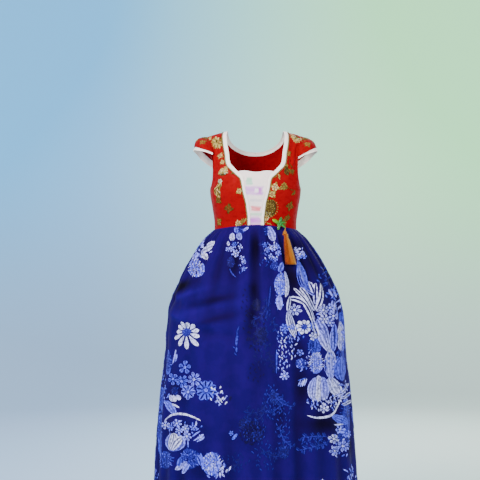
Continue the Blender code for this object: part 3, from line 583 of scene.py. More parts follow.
def srgb(red, green, blue):
    """A colour of the screen, 0 to 255, as light."""
    shares = np.array([red, green, blue]) / 255
    light = np.where(shares <= 0.04045, shares / 12.92, ((shares + 0.055) / 1.055) ** 2.4)
    return tuple(float(v) for v in light)


class Finish:
    """A material in the making, with the few nodes that its kinds share."""

    def __init__(self, name, **constants):
        self.material = bpy.data.materials.new(name)
        self.material.use_nodes = True
        self.tree = self.material.node_tree
        self.shader = self.tree.nodes["Principled BSDF"]
        for key, value in constants.items():
            self.shader.inputs[key.replace("_", " ")].default_value = value

    def node(self, kind, sockets, output=0, **settings):
        """One node of this material."""
        return add_node(self.tree, kind, sockets, output, **settings)

    def part(self, place, axis):
        """One coordinate of a place."""
        return self.node("SeparateXYZ", {0: place}, axis)

    def uv(self):
        """The cloth's own place in metres, and its two directions."""
        place = self.node("UVMap", {}, uv_map="cloth")
        return place, self.part(place, 0), self.part(place, 1)

    def object_place(self):
        """The place on the piece."""
        return self.node("TexCoord", {}, 3)

    def dye(self, output=0):
        """The colour given to the points, on the skirt its painted shade, or with output 3 the number given
        beside it.
        """
        return self.node("Attribute", {}, output, attribute_name="dye")

    def noise(self, place, scale, detail=2, stretch=(1, 1, 1)):
        """Soft noise of the given grain in a metre, drawn out where the stretch is less than one."""
        moved = self.node("Mapping", {"Vector": place, "Scale": stretch})
        return self.node("TexNoise", {"Vector": moved, "Scale": scale, "Detail": detail})

    def mix(self, share, one, other):
        """From one colour to the other."""
        one, other = (colour if isinstance(colour, Wire) else (*colour, 1) for colour in (one, other))
        return self.node("Mix", {0: share, 6: one, 7: other}, 2, data_type="RGBA")

    def shade(self, colour, factor):
        """A colour made darker or lighter by a factor that varies."""
        grey = self.node("CombineXYZ", {0: factor, 1: factor, 2: factor})
        return self.node("VectorMath", {0: colour, 1: grey}, operation="MULTIPLY")

    def into(self, name, value):
        """Links a wire to one of the shader's inputs."""
        self.tree.links.new(value.socket, self.shader.inputs[name])

    def done(self, colour, roughness, height, distance, strength):
        """Links what varies over the surface, with a relief of the given depth, and gives the material."""
        relief = self.node("Bump", {"Height": height, "Distance": distance, "Strength": strength})
        for name, value in (("Base Color", colour), ("Roughness", roughness), ("Normal", relief)):
            self.into(name, value)
        return self.material


# ---------------- woven figures
# widest petals first: longest petal of a class in metres, its rows and its columns
PETAL_CLASSES = ((0.016, 6, 4), (0.04, 10, 5), (1, 22, 7))
CROWN, SUNK, LAYERS = 0.00022, -0.00005, 0.001  # how far petals stand off the cloth, and their pile
HEAD_START = 0.24  # how far a figure's first petal lies below its last
STROKE = 0.22  # share of a stroke at a petal's rim
GOLDEN = 2.39996  # the turn that sets seeds out evenly


def petal(base, angle, length, width, bend=0, full=1.3, blunt=0.7, tone=0.8, veins=1, fill=0):
    """One petal as a row of numbers: base in metres from the figure's middle, direction it starts in, size,
    turn, where it is widest, how blunt it is, tone, bright strokes side by side (two make an outline) and
    how far it is filled between them."""
    return (*base, angle, length, width, bend, full, blunt, tone, veins, fill)


def patch(wide, high, tone, veins=1, fill=1):
    """A filled oval, the ground that other petals lie on."""
    return petal((0, -high), math.pi / 2, 2 * high, 2 * wide, 0, 1, 0.5, tone, veins, fill)


def around(radius, angle):
    """A place at a distance and direction from the figure's middle."""
    return radius * math.cos(angle), radius * math.sin(angle)


def on_arc(length, angle, bend, t):
    """A place at a share of an arc of the given length that starts in a direction and turns by the bend."""
    return around(length * t * np.sinc(bend * t / (2 * math.pi)), angle + bend * t / 2)


def bloom(radius, count, tone=0.9, turn=0, rings=1, heart=0.24, slim=1, veins=1, fill=0):
    """A round flower: rings of petals round a heart of small ones."""
    rows = []
    for ring in range(rings):
        reach = radius * (1 - 0.34 * ring)
        number = count - 2 * ring
        wide = 2 * math.pi * reach * 0.62 / number * slim
        for k in range(number):
            angle = turn + (k + 0.5 * ring) * 2 * math.pi / number
            start = heart * radius
            long = (reach - start) * (1 + 0.1 * math.sin(2.3 * k + turn))
            rows.append(petal(around(start, angle), angle, long, wide, 0.12 * math.sin(3 * k + turn), 1.7,
                              0.55, tone * (1 - 0.22 * ring), veins, fill))
    for k in range(5):
        angle = turn + k * 2 * math.pi / 5
        rows.append(petal(around(0.02 * radius, angle), angle, heart * radius * 0.9, heart * radius * 0.8,
                          0, 1.2, 0.6, min(1, tone * 1.15)))
    return rows


def dome(wide, high, strokes, tone, turn=0, seed=1):
    """A full flower head: short strokes set out like seeds in an oval, each pointing outwards and longer
    towards the rim, lighter and darker by turns."""
    rows = [patch(wide * 0.92, high * 0.92, tone * (0.78 if tone > 0.8 else 0.62), 7, 0.45)]
    draw = np.random.default_rng(seed)
    for k in range(strokes):
        share, angle = math.sqrt((k + 0.6) / strokes), GOLDEN * k
        x, y = wide * 0.86 * share * math.cos(angle), high * 0.86 * share * math.sin(angle)
        x, y = x * math.cos(turn) - y * math.sin(turn), x * math.sin(turn) + y * math.cos(turn)
        size = math.sqrt(wide * high / strokes)
        out = math.atan2(y, x) + draw.uniform(-0.35, 0.35)
        long = size * (1.2 + 0.9 * share)
        light = 1.08 if draw.random() < 0.3 + 0.4 * share else 0.62 + 0.3 * draw.random()
        rows.append(petal((x - long * 0.5 * math.cos(out), y - long * 0.5 * math.sin(out)), out, long,
                          size * 0.5, draw.uniform(-0.6, 0.6), 1.3, 0.6, min(1, tone * light)))
    return rows


def feather(length, width, angle, bend, pairs, tone):
    """A long ruffled leaf: short strokes that leave a stem on both sides and lean towards its tip."""
    rows = [petal((0, 0), angle, length, width * 0.14, bend, 1, 0.4, tone * 0.9)]
    for k in range(pairs):
        t = (k + 0.4) / pairs
        size = width * 0.58 * (0.3 + 0.7 * math.sin(math.pi * min(1, t * 0.9 + 0.12)))
        for side in (-1, 1):
            shade = tone * (0.8 + 0.24 * math.sin(1.7 * k + side))
            rows.append(petal(on_arc(length, angle, bend, t), angle + bend * t + side * (0.8 - 0.2 * t),
                              size * 1.25, size * 0.62, -0.5 * side, 1.35, 0.55, shade, 1 + k % 2))
    return rows


def leaf(length, width, angle, bend=0, tone=0.6, base=(0, 0)):
    """A leaf as two halves beside its vein."""
    side = width * 0.26
    out = (-math.sin(angle) * side, math.cos(angle) * side)
    return [petal((base[0] + out[0] * s, base[1] + out[1] * s), angle + 0.1 * s, length, width * 0.46,
                  bend - 0.2 * s, 0.95, 0.85, tone * (1 if s > 0 else 0.82)) for s in (1, -1)]


def fan(radius, first, last, count, width, tone=0.7, bend=0, start=0.25):
    """Petals that spread from one place, like the flower of a lily or a spray of blades."""
    rows = []
    for k, angle in enumerate(np.linspace(first, last, count)):
        reach = radius * (1 - 0.16 * abs(math.sin(2.1 * k)))
        lean = bend * (2 * k / max(count - 1, 1) - 1)
        rows.append(petal(around(start * radius, angle), angle, reach * (1 - start), width, lean, 1.25, 0.7,
                          tone * (0.86 + 0.14 * math.cos(2.7 * k))))
    return rows


def seeds(wide, high, count, size, tone, seed):
    """Small pointed marks in leaning rows over an oval, two and two like the leaves of a sprig."""
    draw = np.random.default_rng(seed)
    rows = []
    for k in range(count):
        share, angle = math.sqrt((k + 0.5) / count), GOLDEN * k
        x, y = wide * share * math.cos(angle), high * share * math.sin(angle)
        lean = (1.1 if k % 2 else 2.1) + draw.uniform(-0.35, 0.35)
        long = size * draw.uniform(0.8, 1.25)
        rows.append(petal((x, y - long / 2), lean, long, size * 0.38, draw.uniform(-0.4, 0.4), 1.2, 0.7,
                          tone * draw.uniform(0.8, 1.08)))
    return rows


def vine(length, angle, bend, width, tone, leaves, leaf_size):
    """A thin curling stem with leaves set on it in turn."""
    rows = [petal((0, 0), angle, length, width, bend, 1, 0.35, tone)]
    for k in range(leaves):
        t, side = (k + 0.7) / leaves, 1 if k % 2 else -1
        rows += leaf(leaf_size, leaf_size * 0.55, angle + bend * t + side * 0.9, 0.3 * side, tone,
                     on_arc(length, angle, bend, t))
    return rows


def petal_points(rows, steps, columns):
    """Points of petals in metres from the figure's middle, lift, UV, tone and fill: the middle line is an
    arc, the half width goes with the sine of the length's power, and the lift is crowned across and sinks
    into the cloth all round.  The UV counts strokes across the petal and metres along it."""
    base_x, base_y, angle, length, width, bend, full, blunt, tone, veins, fill, above = (
        rows[:, i, None, None] for i in range(12))
    t = np.linspace(0, 1, steps)[None, :, None]
    s = np.linspace(-1, 1, columns)[None, None, :]
    chord = length * t * np.sinc(bend * t / (2 * np.pi))
    heading = angle + bend * t / 2
    half = width / 2 * (0.05 + 0.95 * np.sin(np.pi * t ** full) ** blunt)
    side = angle + bend * t + np.pi / 2
    x = base_x + chord * np.cos(heading) + s * half * np.cos(side)
    y = base_y + chord * np.sin(heading) + s * half * np.sin(side)
    ends = np.clip(np.sin(np.pi * t) * 4, 0, 1)
    lift = SUNK + (CROWN - SUNK) * ends * np.sqrt(1 - s * s) + above
    u = (s + 1) / 2 * (veins - 1 + 2 * STROKE) - STROKE
    return points_at(x, y, lift, u, length * t, tone * (0.94 + 0.1 * t), fill)


def lay_figures(figures, place):
    """Points, faces, UV and tone with fill of figures given as (where, rows); place() lays the points'
    offsets from a where on the cloth.  Each figure lies a little higher than the one before it."""
    wheres = np.concatenate([np.repeat([where], len(rows), axis=0) for where, rows in figures])
    rank = np.concatenate([k / len(figures) + HEAD_START * np.minimum(1, np.arange(len(rows)))
                           + np.linspace(0, HEAD_START, len(rows)) for k, (_, rows) in enumerate(figures)])
    rows = np.column_stack([[row for _, figure in figures for row in figure], LAYERS * rank])
    parts, start, shorter = [], 0, 0
    for longest, steps, columns in PETAL_CLASSES:
        chosen = (rows[:, 3] > shorter) & (rows[:, 3] <= longest)
        shorter = longest
        if not chosen.any():
            continue
        flat = petal_points(rows[chosen], steps, columns).reshape(-1, 7)
        at = np.repeat(wheres[chosen], steps * columns, axis=0)
        index = start + np.arange(len(flat)).reshape(-1, steps, columns)
        faces = np.stack([index[:, :-1, :-1], index[:, 1:, :-1], index[:, 1:, 1:],
                          index[:, :-1, 1:]], axis=-1)
        parts.append((place(at, *flat[:, :3].T), faces.reshape(-1, 4), flat[:, 3:5], flat[:, 5:7]))
        start += len(flat)
    return tuple(np.concatenate([part[i] for part in parts]) for i in range(4))


def tone_colours(tone, table):
    """Colours for tones: rows of tone, red, green, blue on the screen, with straight steps between."""
    light = np.array([srgb(*row[1:]) for row in table])
    keys = [row[0] for row in table]
    return np.stack([np.interp(tone, keys, light[:, i]) for i in range(3)], axis=1)


# ---------------- the skirt's grid
FOLD_STEPS, FIRST_FOLD = 20, 1  # columns in each fold, and the fold it starts with
SKIRT_COLUMNS = GATHERS * FOLD_STEPS + 1
skirt_q = FIRST_FOLD + np.linspace(0, GATHERS, SKIRT_COLUMNS)
skirt_drops = np.concatenate([np.linspace(0, 0.05, 22)[:-1], np.linspace(0.05, 0.34, 66)[:-1],
                              np.linspace(0.34, SKIRT_DROP, 87)])
skirt_grid = skirt(skirt_q[None, :], skirt_drops[:, None])
skirt_grid[:, -1] = skirt_grid[:, 0]


def wrapped_normals(grid):
    """Outward unit normals of the skirt's grid, whose last column is its first."""
    across = np.roll(grid[:, :-1], -1, axis=1) - np.roll(grid[:, :-1], 1, axis=1)
    across = np.concatenate([across, across[:, :1]], axis=1)
    normal = unit(np.cross(across, -np.gradient(grid, axis=0)))
    return normal if (normal[..., :2] * grid[..., :2]).sum() > 0 else -normal


skirt_normals = wrapped_normals(skirt_grid)


def at_grid(grid, row, column):
    """Value of a grid between its points, by the four round each place."""
    i = np.clip(np.floor(row).astype(int), 0, grid.shape[0] - 2)
    j = np.clip(np.floor(column).astype(int), 0, grid.shape[1] - 2)
    a, b = (row - i)[:, None], (column - j)[:, None]
    return ((grid[i, j] * (1 - b) + grid[i, j + 1] * b) * (1 - a)
            + (grid[i + 1, j] * (1 - b) + grid[i + 1, j + 1] * b) * a)


def on_skirt(at, x, y, lift):
    """Places on the skirt: at is the figure's place in folds and drop with how fast both run for a metre
    to the right and a metre up, x and y the metres."""
    q = at[:, 0] + at[:, 2] * x + at[:, 3] * y
    drop = np.clip(at[:, 1] + at[:, 4] * x + at[:, 5] * y, 0.003, SKIRT_DROP - 0.004)
    column = np.mod(q - FIRST_FOLD, GATHERS) * FOLD_STEPS
    row = np.interp(drop, skirt_drops, np.arange(len(skirt_drops)))
    return at_grid(skirt_grid, row, column) + at_grid(skirt_normals, row, column) * lift[:, None]


def seen_on_skirt(px, py):
    """Folds and drop of the places on the skirt's front that the camera sees across and down in its frame:
    the depth is guessed, the place worked out, and the depth read again, a few times."""
    rise = math.radians(CAMERA_RISE)
    right, up = (np.asarray(px) - FRAME / 2) / FOCAL, (FRAME / 2 - np.asarray(py)) / FOCAL
    ahead, over = math.cos(rise) - up * math.sin(rise), math.sin(rise) + up * math.cos(rise)
    y, q = np.full(np.shape(px), -0.22), np.zeros(np.shape(px))
    fine = np.linspace(-6.5, 6.5, 521)
    waist, hem = fold_value(fine, 0), fold_value(fine, 1)
    for _ in range(9):
        far = (y - CAMERA_PLACE[1]) / ahead
        x, z = CAMERA_PLACE[0] + right * far, CAMERA_PLACE[2] + over * far
        seam = waist_seam(np.radians(fold_value(q, 0)))
        low = np.clip((seam - z) / (seam - HEM), 0, 1)
        drop = low * SKIRT_DROP
        share = np.clip(np.abs(x) / smooth(SKIRT, 1, drop), 0, 0.985)
        angle = np.degrees(np.arcsin(share ** (smooth(SKIRT, 4, drop) / 2))) * np.sign(x)
        q = np.array([np.interp(a, waist * (1 - s) + hem * s, fine) for a, s in zip(angle, low)])
        y = oval(q, drop)[0][:, 1]
    return np.stack([q, drop], axis=-1)


def run_of(q, drop):
    """A place on the skirt with how fast folds and drop run there along the cloth itself."""
    wide, tall = (np.linalg.norm(oval(q + a, drop + b)[0] - oval(q - a, drop - b)[0]) / (2 * (a + b))
                  for a, b in ((0.02, 0), (0, 0.004)))
    return q, drop, 1 / wide, 0, 0, -1 / tall


def run_seen(px, py):
    """Places on the skirt's front with how fast folds and drop run as seen from the camera, so that a
    figure keeps its shape there; near the sides the cloth's own run limits it."""
    px, py = np.asarray(px, dtype=float), np.asarray(py, dtype=float)
    here = seen_on_skirt(px, py)
    across = (seen_on_skirt(px + 1.5, py) - seen_on_skirt(px - 1.5, py)) / (3 * STEP)
    up = (seen_on_skirt(px, py - 1.5) - seen_on_skirt(px, py + 1.5)) / (3 * STEP)
    plain = np.array([run_of(q, drop)[2] for q, drop in here])
    return np.column_stack([here, np.clip(across[:, 0], plain, 2.4 * plain), np.clip(up[:, 0], -plain, plain),
                            across[:, 1], up[:, 1]])


# ---------------- the skirt's woven flowers
# Places on the front are across and down in the camera's frame, sizes in the same steps.
STEP = 0.0031  # metres of cloth for one of those steps
# painted shade where the cloth lies in soft shade, or painted light where the last number is below nought:
# across, down, half width, half height, rise for each step to the right, how dark
PAINTED_SHADES = (
    (234.5, 262, 7, 16, 0, .8), (294.5, 278, 5.5, 16, 0, .95), (303, 388, 7, 20, 0, .8),
    (325, 424, 22, 12, 0, .95), (256, 245, 4, 11, 0, .85), (254, 289, 4, 8, 0, .8),
    (252, 315, 4.5, 8, 0, .8), (311, 262, 6, 16, 0, .7), (333.5, 346, 4, 4, 0, .7), (301, 352, 5, 12, 0, .7),
    (350, 446, 4, 10, 0, .8), (199, 248, 6, 7, 0, .6), (176, 392, 8, 12, 0, .6), (180, 430, 18, 10, 0, .5),
    (330, 392, 14, 14, 0, .6), (286, 302, 4, 10, 0, .5), (179, 287.5, 9, 6.2, .5, 1.2),
    (216, 299.5, 17, 4.6, .16, .75), (216, 319, 22, 4.4, .22, .62), (187, 293.6, 14, 3, .34, -.6),
    (199, 309.6, 26, 4.2, .2, -.62), (268, 232, 3, 10, 0, .4), (253, 432, 13, 10, 0, .5),
    (262, 370, 6, 16, 0, .35), (281, 418, 4, 18, 0, .45), (200, 470, 20, 10, 0, .35),
    (298, 244, 8, 6, 0, .6), (326, 270, 5, 14, 0, .4), (247, 330, 5, 14, 0, .4), (218, 270, 5, 22, 0, .25),
    (240, 300, 6, 26, 0, -.22), (206, 372, 9, 30, 0, -.12))
# painted shade: light kept in the cloth's colour for the depth in metres below the skirt's oval
DEPTH_AT, DEPTH_LIGHT = (-0.007, -0.002, 0.001, 0.007, 0.018), (0.84, 0.66, 0.6, 0.42, 0.1)
# filled grounds, drawn first: across, down, half width, half height, tone
GROUNDS = ((315, 346, 9, 8, .5), (343, 356, 7, 22, .44), (347, 420, 5, 18, .44), (168, 362, 4, 13, .56),
           (161, 400, 3.5, 14, .52), (159, 436, 5, 22, .56), (343, 318, 4.5, 20, .5))
# full heads: across, down, half width, half height, strokes, tone, and the turn of a slanting one
DOMES = (
    (316.6, 362.5, 9.2, 12.4, 84, .95), (315, 345.5, 8.5, 7.5, 36, .54), (281.8, 284, 7.6, 12.6, 76, .86),
    (302, 363.7, 6, 6, 24, .62), (345, 440, 6.5, 12, 40, .58), (164.5, 460, 8, 9.5, 44, .63),
    (188.5, 459, 11.5, 11.5, 44, .62), (212, 464, 12, 13, 62, .86, 10), (239, 230.5, 5, 4.6, 16, .52),
    (203, 235, 4.6, 6.4, 22, .62), (194.3, 267.5, 8.4, 10.4, 84, .93), (230.4, 262, 4, 6.4, 14, .36),
    (168, 361, 4.4, 12, 34, .6), (161, 398, 3.6, 13, 26, .56), (159, 432, 5, 16, 44, .6),
    (345.5, 322, 4.2, 21, 48, .58), (347, 412, 5.6, 17, 44, .54), (308, 286, 6.4, 8.5, 30, .66),
    (175, 391, 4.6, 4.8, 18, .4), (197, 246, 4.5, 4.5, 16, .62), (267, 231, 3, 5, 10, .52),
    (275, 265.5, 3.6, 5.6, 14, .56))
# wide petals: from across, from down, to across, to down, width, turn, strokes, fill, tone
PETALS = (
    (331.5, 379, 331, 349, 13, .05, 5, .55, .86), (342.5, 381, 341.5, 356, 12, -.1, 5, .4, .66),
    (320, 329, 329.4, 352, 9.6, -.15, 4, .4, .88), (334, 352, 333.5, 330, 7, 0, 3, .3, .78),
    (341, 351, 341.5, 321, 10, .1, 4, .45, .93), (346, 350, 346, 324, 5, 0, 2, .5, .74),
    (335.5, 345, 335, 324, 5.2, -.2, 2, .1, .7), (318.8, 319, 328.5, 345, 8.8, -.2, 3, .25, .84),
    (316.6, 377.5, 314, 400.6, 12, .3, 5, .42, .86), (323, 377, 324, 400.6, 11, -.3, 4, .42, .84),
    (320, 375.6, 318.6, 402, 12, .06, 4, .5, .97), (321.6, 377, 320.6, 399, 5, .1, 2, .6, 1),
    (330, 377.5, 341.5, 395.5, 12.5, .25, 4, .5, .93), (332, 378, 337, 389, 6, .2, 2, .8, 1),
    (349.8, 424, 333, 416.5, 8, .25, 4, .4, .64), (268.6, 225.5, 274.6, 241, 7.6, -.1, 3, .45, .84),
    (300, 258.5, 309.8, 294, 12.5, .12, 5, .62, .68), (300.2, 259, 306, 284, 6.8, -.1, 3, .72, .82),
    (280, 295, 280.5, 310, 6.2, .3, 2, .45, .84), (285.5, 271, 286, 297, 5.4, -.7, 2, .6, .95),
    (279, 272, 283, 262, 5.5, .4, 2, .45, .7), (288.2, 311, 296.2, 337, 8.4, .25, 4, .1, .95),
    (206, 246, 213.4, 241.5, 4.4, .3, 2, .6, .97), (199, 252, 210.6, 246, 4.6, .3, 2, .4, .95),
    (201.5, 250.5, 205.5, 259.5, 5.6, .2, 2, .5, 1), (198, 253, 190.5, 259, 5.4, .2, 2, .4, .86),
    (199, 250, 192, 249.5, 4.6, .3, 2, .4, .82), (203, 246, 201, 238.5, 4, .2, 1, .3, .86),
    (232.4, 233, 231.6, 241, 5.6, .1, 2, .55, .93), (238, 232, 240, 240, 6, .1, 3, .45, .82),
    (236, 233, 235.6, 226.5, 4.4, .1, 2, .4, .72), (242.5, 231, 248.6, 227, 2.8, .2, 1, .3, .8),
    (227.8, 241, 228, 246, 3, 0, 1, .6, .97), (164.5, 401, 174.8, 414, 7.6, -.2, 3, .45, .74),
    (169.5, 395, 173, 401.5, 4.6, .2, 1, .6, .93), (173.4, 395, 176, 401.8, 4.6, .2, 1, .6, .97),
    (177, 395, 180, 400, 4.4, .2, 1, .6, .93), (186.5, 462, 174.5, 470, 5.6, .2, 2, .5, .86),
    (189, 464, 180.5, 474, 5.4, .2, 2, .5, .8), (180, 457, 177.5, 468, 4.4, .3, 2, .3, .62),
    (196, 455, 200, 466, 4, -.6, 2, .1, .66), (199.5, 453, 202, 470, 3, -.4, 1, .1, .66),
    (229, 401, 231, 396, 2.6, 0, 1, .2, .12), (231.5, 440, 237, 434, 3.2, .2, 1, .4, .62))
# round closed flower: across, down, half width, half height
BULB = (173.3, 442.4, 10, 9)
# long blades with two bright edges: from across, from down, to across, to down, width, turn, tone
BLADES = (
    (317.5, 320, 296, 288, 3.6, .22, .97), (317.5, 311, 301, 287.5, 5.2, .16, .98),
    (318.5, 302, 312.6, 281.5, 3.4, .15, .92), (319.8, 310, 322.8, 282.5, 4.6, .05, 1),
    (318, 304, 316.6, 283, 3.2, -.1, .95), (318, 296, 308, 290, 3.2, .2, .84),
    (288.3, 311, 291, 296.5, 4.4, -.35, .97), (289.6, 298.6, 305, 304, 5.2, -1, .98),
    (303, 301, 314, 322, 5.6, -.35, 1), (313, 318.5, 319.4, 337, 5.2, -.1, .95),
    (341, 398.5, 353, 392, 3.4, .4, .95), (342, 405, 354, 400, 3.4, .3, .95),
    (336, 397, 351, 383, 3, .5, .93))
# single strokes: from across, from down, to across, to down, width, turn, tone
STROKES = (
    (309.5, 415.4, 343.6, 398.6, 2.3, 1.85, 1), (334.5, 424.8, 344, 424.2, 1.7, .2, .97),
    (160.5, 421.6, 196.4, 421.4, 2.2, -1.6, 1), (196.2, 420.6, 194.8, 427.6, 1.5, -.7, .9),
    (171.5, 403.6, 179, 407.8, 2, -.3, .98), (236.2, 352.7, 236.4, 347, 1.8, .2, .52),
    (236, 346, 236.6, 336, 2.4, .1, .5), (236.8, 337, 239.2, 326, 1.7, -.4, .38),
    (229.2, 268.4, 236, 277.5, 1.3, .7, .44), (299.2, 386.4, 301.6, 380.6, 1.5, 0, .8),
    (301, 387.2, 303.6, 380.4, 1.5, 0, .84), (303, 387, 305.6, 379, 1.5, 0, .9),
    (305, 386, 307.4, 378.6, 1.5, 0, .84), (299, 381, 307, 378, 1.2, 0, .6),
    (276.7, 374, 276.8, 349, 1.4, .05, .5), (193, 441, 203.4, 434.4, 1.8, .2, .84),
    (196, 442, 204, 437.6, 1.7, .2, .8), (192, 437, 200, 431, 1.6, -.2, .74),
    (188, 448, 187.6, 440, 1.6, 0, .72), (329, 289, 333, 297, 1.6, .1, .84),
    (332, 288, 336, 296, 1.6, .1, .84), (335, 290, 338.4, 297, 1.6, .1, .8),
    (335.5, 301, 335.8, 310, 1.8, 0, .9), (338, 302, 338.6, 314, 1.8, 0, .84),
    (333, 300, 333, 306, 1.6, 0, .8), (268, 308, 271, 286, 1.6, .1, .36), (265, 320, 268, 310, 1.4, .1, .34),
    (172.6, 364, 175.4, 349.5, 1.7, .1, .84), (175.2, 362, 176.6, 354, 1.6, .1, .8))
# small blossoms: across, down, radius, petals, tone
BLOOMS = (
    (234, 244.5, 2.6, 6, .58), (231.4, 249, 2.8, 5, .8), (235.4, 253.6, 3.6, 6, .86),
    (227.4, 249.6, 2.4, 4, .78), (240, 247, 2.6, 4, .86), (241.5, 258, 2.6, 4, .82),
    (243.5, 262.6, 2.4, 4, .8), (244, 269, 2.2, 4, .66), (268, 250, 3, 5, .66), (274, 247.5, 3.2, 5, .84),
    (279, 253, 2.8, 5, .72), (271, 256.5, 2.8, 5, .78), (275.5, 259, 2.6, 5, .68), (265, 245, 2.8, 5, .58),
    (277.6, 247, 2.6, 5, .7), (298.5, 250, 3.4, 5, .9), (302, 254, 3.4, 5, .86), (300, 258, 2.8, 5, .8),
    (305, 256.5, 2.6, 5, .62), (295.3, 310, 6.2, 7, .88), (323.6, 310, 5.6, 7, .9), (324.6, 319, 4.8, 6, .9),
    (331.4, 308, 4.6, 6, .8), (333.8, 316, 4.6, 6, .84), (330.6, 323, 4.2, 6, .82),
    (313.6, 336.6, 4.6, 6, .93), (285, 328, 4.8, 7, .62), (293, 327, 3.2, 5, .62), (284.7, 376, 4.6, 7, .8),
    (184.2, 367.4, 6.4, 5, .64), (173.2, 379, 6, 5, .64), (181.6, 381.4, 6.2, 7, .62),
    (193.9, 379.4, 7.2, 7, .76), (340.8, 429.6, 5, 6, .76), (333.8, 439, 5.4, 6, .93),
    (343.6, 446, 5.6, 6, .8), (334.6, 451, 5.2, 6, .84), (349, 434, 4, 6, .72), (165.3, 425, 4, 6, .86),
    (170.6, 427.6, 3.6, 6, .72), (177, 423.4, 4.2, 6, .8), (185, 428.7, 4.6, 7, .84),
    (186.6, 436.4, 5, 7, .82), (193.6, 427.6, 3.6, 6, .72), (178.6, 430.6, 3.4, 6, .8),
    (200.6, 437.4, 3.4, 6, .82), (230.8, 433.4, 2.6, 5, .62), (324.6, 408.6, 4.6, 6, .93),
    (300.6, 352.6, 3.4, 5, .72), (310.6, 326, 3, 5, .62))
# flowers whose petals are outlines: across, down, radius, petals, tone
OUTLINED = ((187.8, 392, 7.4, 8, .74), (205.9, 390.4, 10.6, 10, .62))
# small pointed marks: across, down, half width, half height, marks, size, tone
SEEDS = (
    (282.4, 335, 5.4, 8, 14, 3, .84), (283, 349, 5.6, 10, 17, 3.1, .9), (284, 364, 5.6, 9, 15, 3.1, .88),
    (293, 341, 3.8, 8, 10, 3.2, .84), (293, 353, 3.6, 7, 8, 3.4, .9), (325, 404.4, 16, 7, 36, 3, .9),
    (336, 399, 8, 5, 14, 3.4, .9), (313, 402, 6, 5, 10, 3, .74), (217.6, 395, 7.6, 9, 15, 4, .95),
    (221, 401, 5, 4, 8, 3.6, .97), (272.4, 250, 8.4, 11, 22, 3, .88), (279.6, 302, 4, 8, 10, 3, .8),
    (329, 314, 10, 9, 18, 3.2, .84), (313, 330, 6, 8, 12, 3.2, .8), (300, 334, 4, 7, 8, 3.4, .72),
    (180, 428, 18, 8, 24, 2.8, .72), (346, 392, 6, 12, 24, 3.4, .84), (234, 247, 8, 10, 12, 2.6, .8),
    (243, 264, 3, 9, 9, 2.6, .8), (301.4, 254, 5, 6, 12, 2.8, .88), (339, 304, 4, 14, 18, 3.4, .84),
    (341, 443, 10, 15, 34, 3.2, .84), (165, 392, 3, 14, 14, 3, .74), (198, 250, 7, 8, 14, 3, .84),
    (268, 262, 8, 6, 14, 2.8, .44), (326, 276, 5, 11, 18, 3.6, .42), (334, 292, 5, 8, 14, 3.6, .66),
    (217, 470, 11, 8, 22, 5, .86), (303, 366, 5, 5, 8, 3, .74), (240, 268, 4, 6, 4, 2.4, .5),
    (309, 356, 2, 10, 6, 3, .8), (335, 362, 9, 12, 18, 3.6, .56), (344, 336, 5, 14, 16, 3.6, .84),
    (236.5, 345, 1.4, 12, 5, 3.4, .46))
# stems in the cloth's own blue, a little darker or lighter: across, down, length, direction, turn,
# leaves, tone
TONAL = (
    (266, 296, 30, -70, -.8, 8, .3), (258, 322, 30, -110, .8, 8, .26), (274, 318, 34, -95, .7, 9, .32),
    (247, 335, 24, -60, .9, 7, .16), (246, 412, 26, -20, .7, 8, .28), (256, 422, 26, -150, .8, 8, .12),
    (264, 405, 24, -75, -.9, 7, .28), (274, 388, 30, -90, .8, 8, .38), (283, 394, 26, -80, -.8, 7, .38),
    (329, 444, 26, 186, .2, 9, .4), (328, 437, 22, 172, .2, 8, .4), (262, 448, 28, -60, .8, 8, .3),
    (281, 425, 28, -100, .7, 8, .38), (240, 458, 26, -100, -.8, 8, .26), (238, 428, 24, 20, .8, 7, .3),
    (318, 252, 22, -75, .5, 6, .34), (270, 350, 24, -100, .5, 8, .24), (263, 240, 24, -95, .5, 6, .3))
TONAL_SEEDS = (
    (256, 326, 11, 26, 46, 3.4, .1), (262, 352, 9, 14, 30, 3.2, .26), (252, 432, 14, 11, 64, 3, .1),
    (254, 430, 15, 12, 44, 3, .36), (271, 402, 8, 18, 46, 3, .37), (267, 320, 6, 18, 22, 3.2, .3),
    (284, 430, 7, 24, 40, 3, .38), (316, 442, 15, 7, 32, 3.2, .39), (247, 300, 6, 16, 14, 3.2, .1),
    (235, 462, 14, 10, 26, 3.2, .28), (266, 456, 12, 16, 36, 3.2, .34), (256, 372, 8, 12, 14, 3.2, .12))
TONAL_HEADS = ((257, 305, 5, 7, 22, .16), (262, 334, 6, 8, 26, .24), (243, 424, 6, 6, 22, .24),
               (258, 436, 7, 6, 26, .3), (274, 398, 6, 7, 24, .4), (284, 452, 6, 8, 26, .38))
# under the frame's edge the same kinds go on to the hem
LOW_DOMES = (
    (178, 492, 10, 10, 50, .84), (204, 505, 12, 11, 56, .76, 10), (232, 498, 7, 7, 30, .52),
    (184, 524, 12, 12, 56, .9), (217, 533, 10, 10, 44, .72), (267, 508, 8, 8, 34, .36),
    (298, 498, 10, 11, 50, .8), (323, 490, 11, 11, 54, .88), (346, 506, 8, 12, 44, .72),
    (306, 525, 12, 11, 56, .8), (334, 535, 11, 11, 54, .9), (163, 545, 9, 11, 44, .66),
    (246, 535, 8, 8, 34, .34), (276, 542, 8, 8, 34, .38))
LOW_SEEDS = (
    (190, 508, 14, 8, 40, 3.6, .9), (318, 510, 18, 9, 50, 3.6, .93), (235, 518, 16, 10, 40, 3.2, .34),
    (200, 547, 18, 6, 40, 3.6, .84), (322, 552, 20, 6, 44, 3.6, .84), (270, 525, 14, 8, 34, 3.2, .36),
    (352, 478, 6, 14, 26, 3.6, .8), (161, 496, 5, 14, 22, 3, .6))


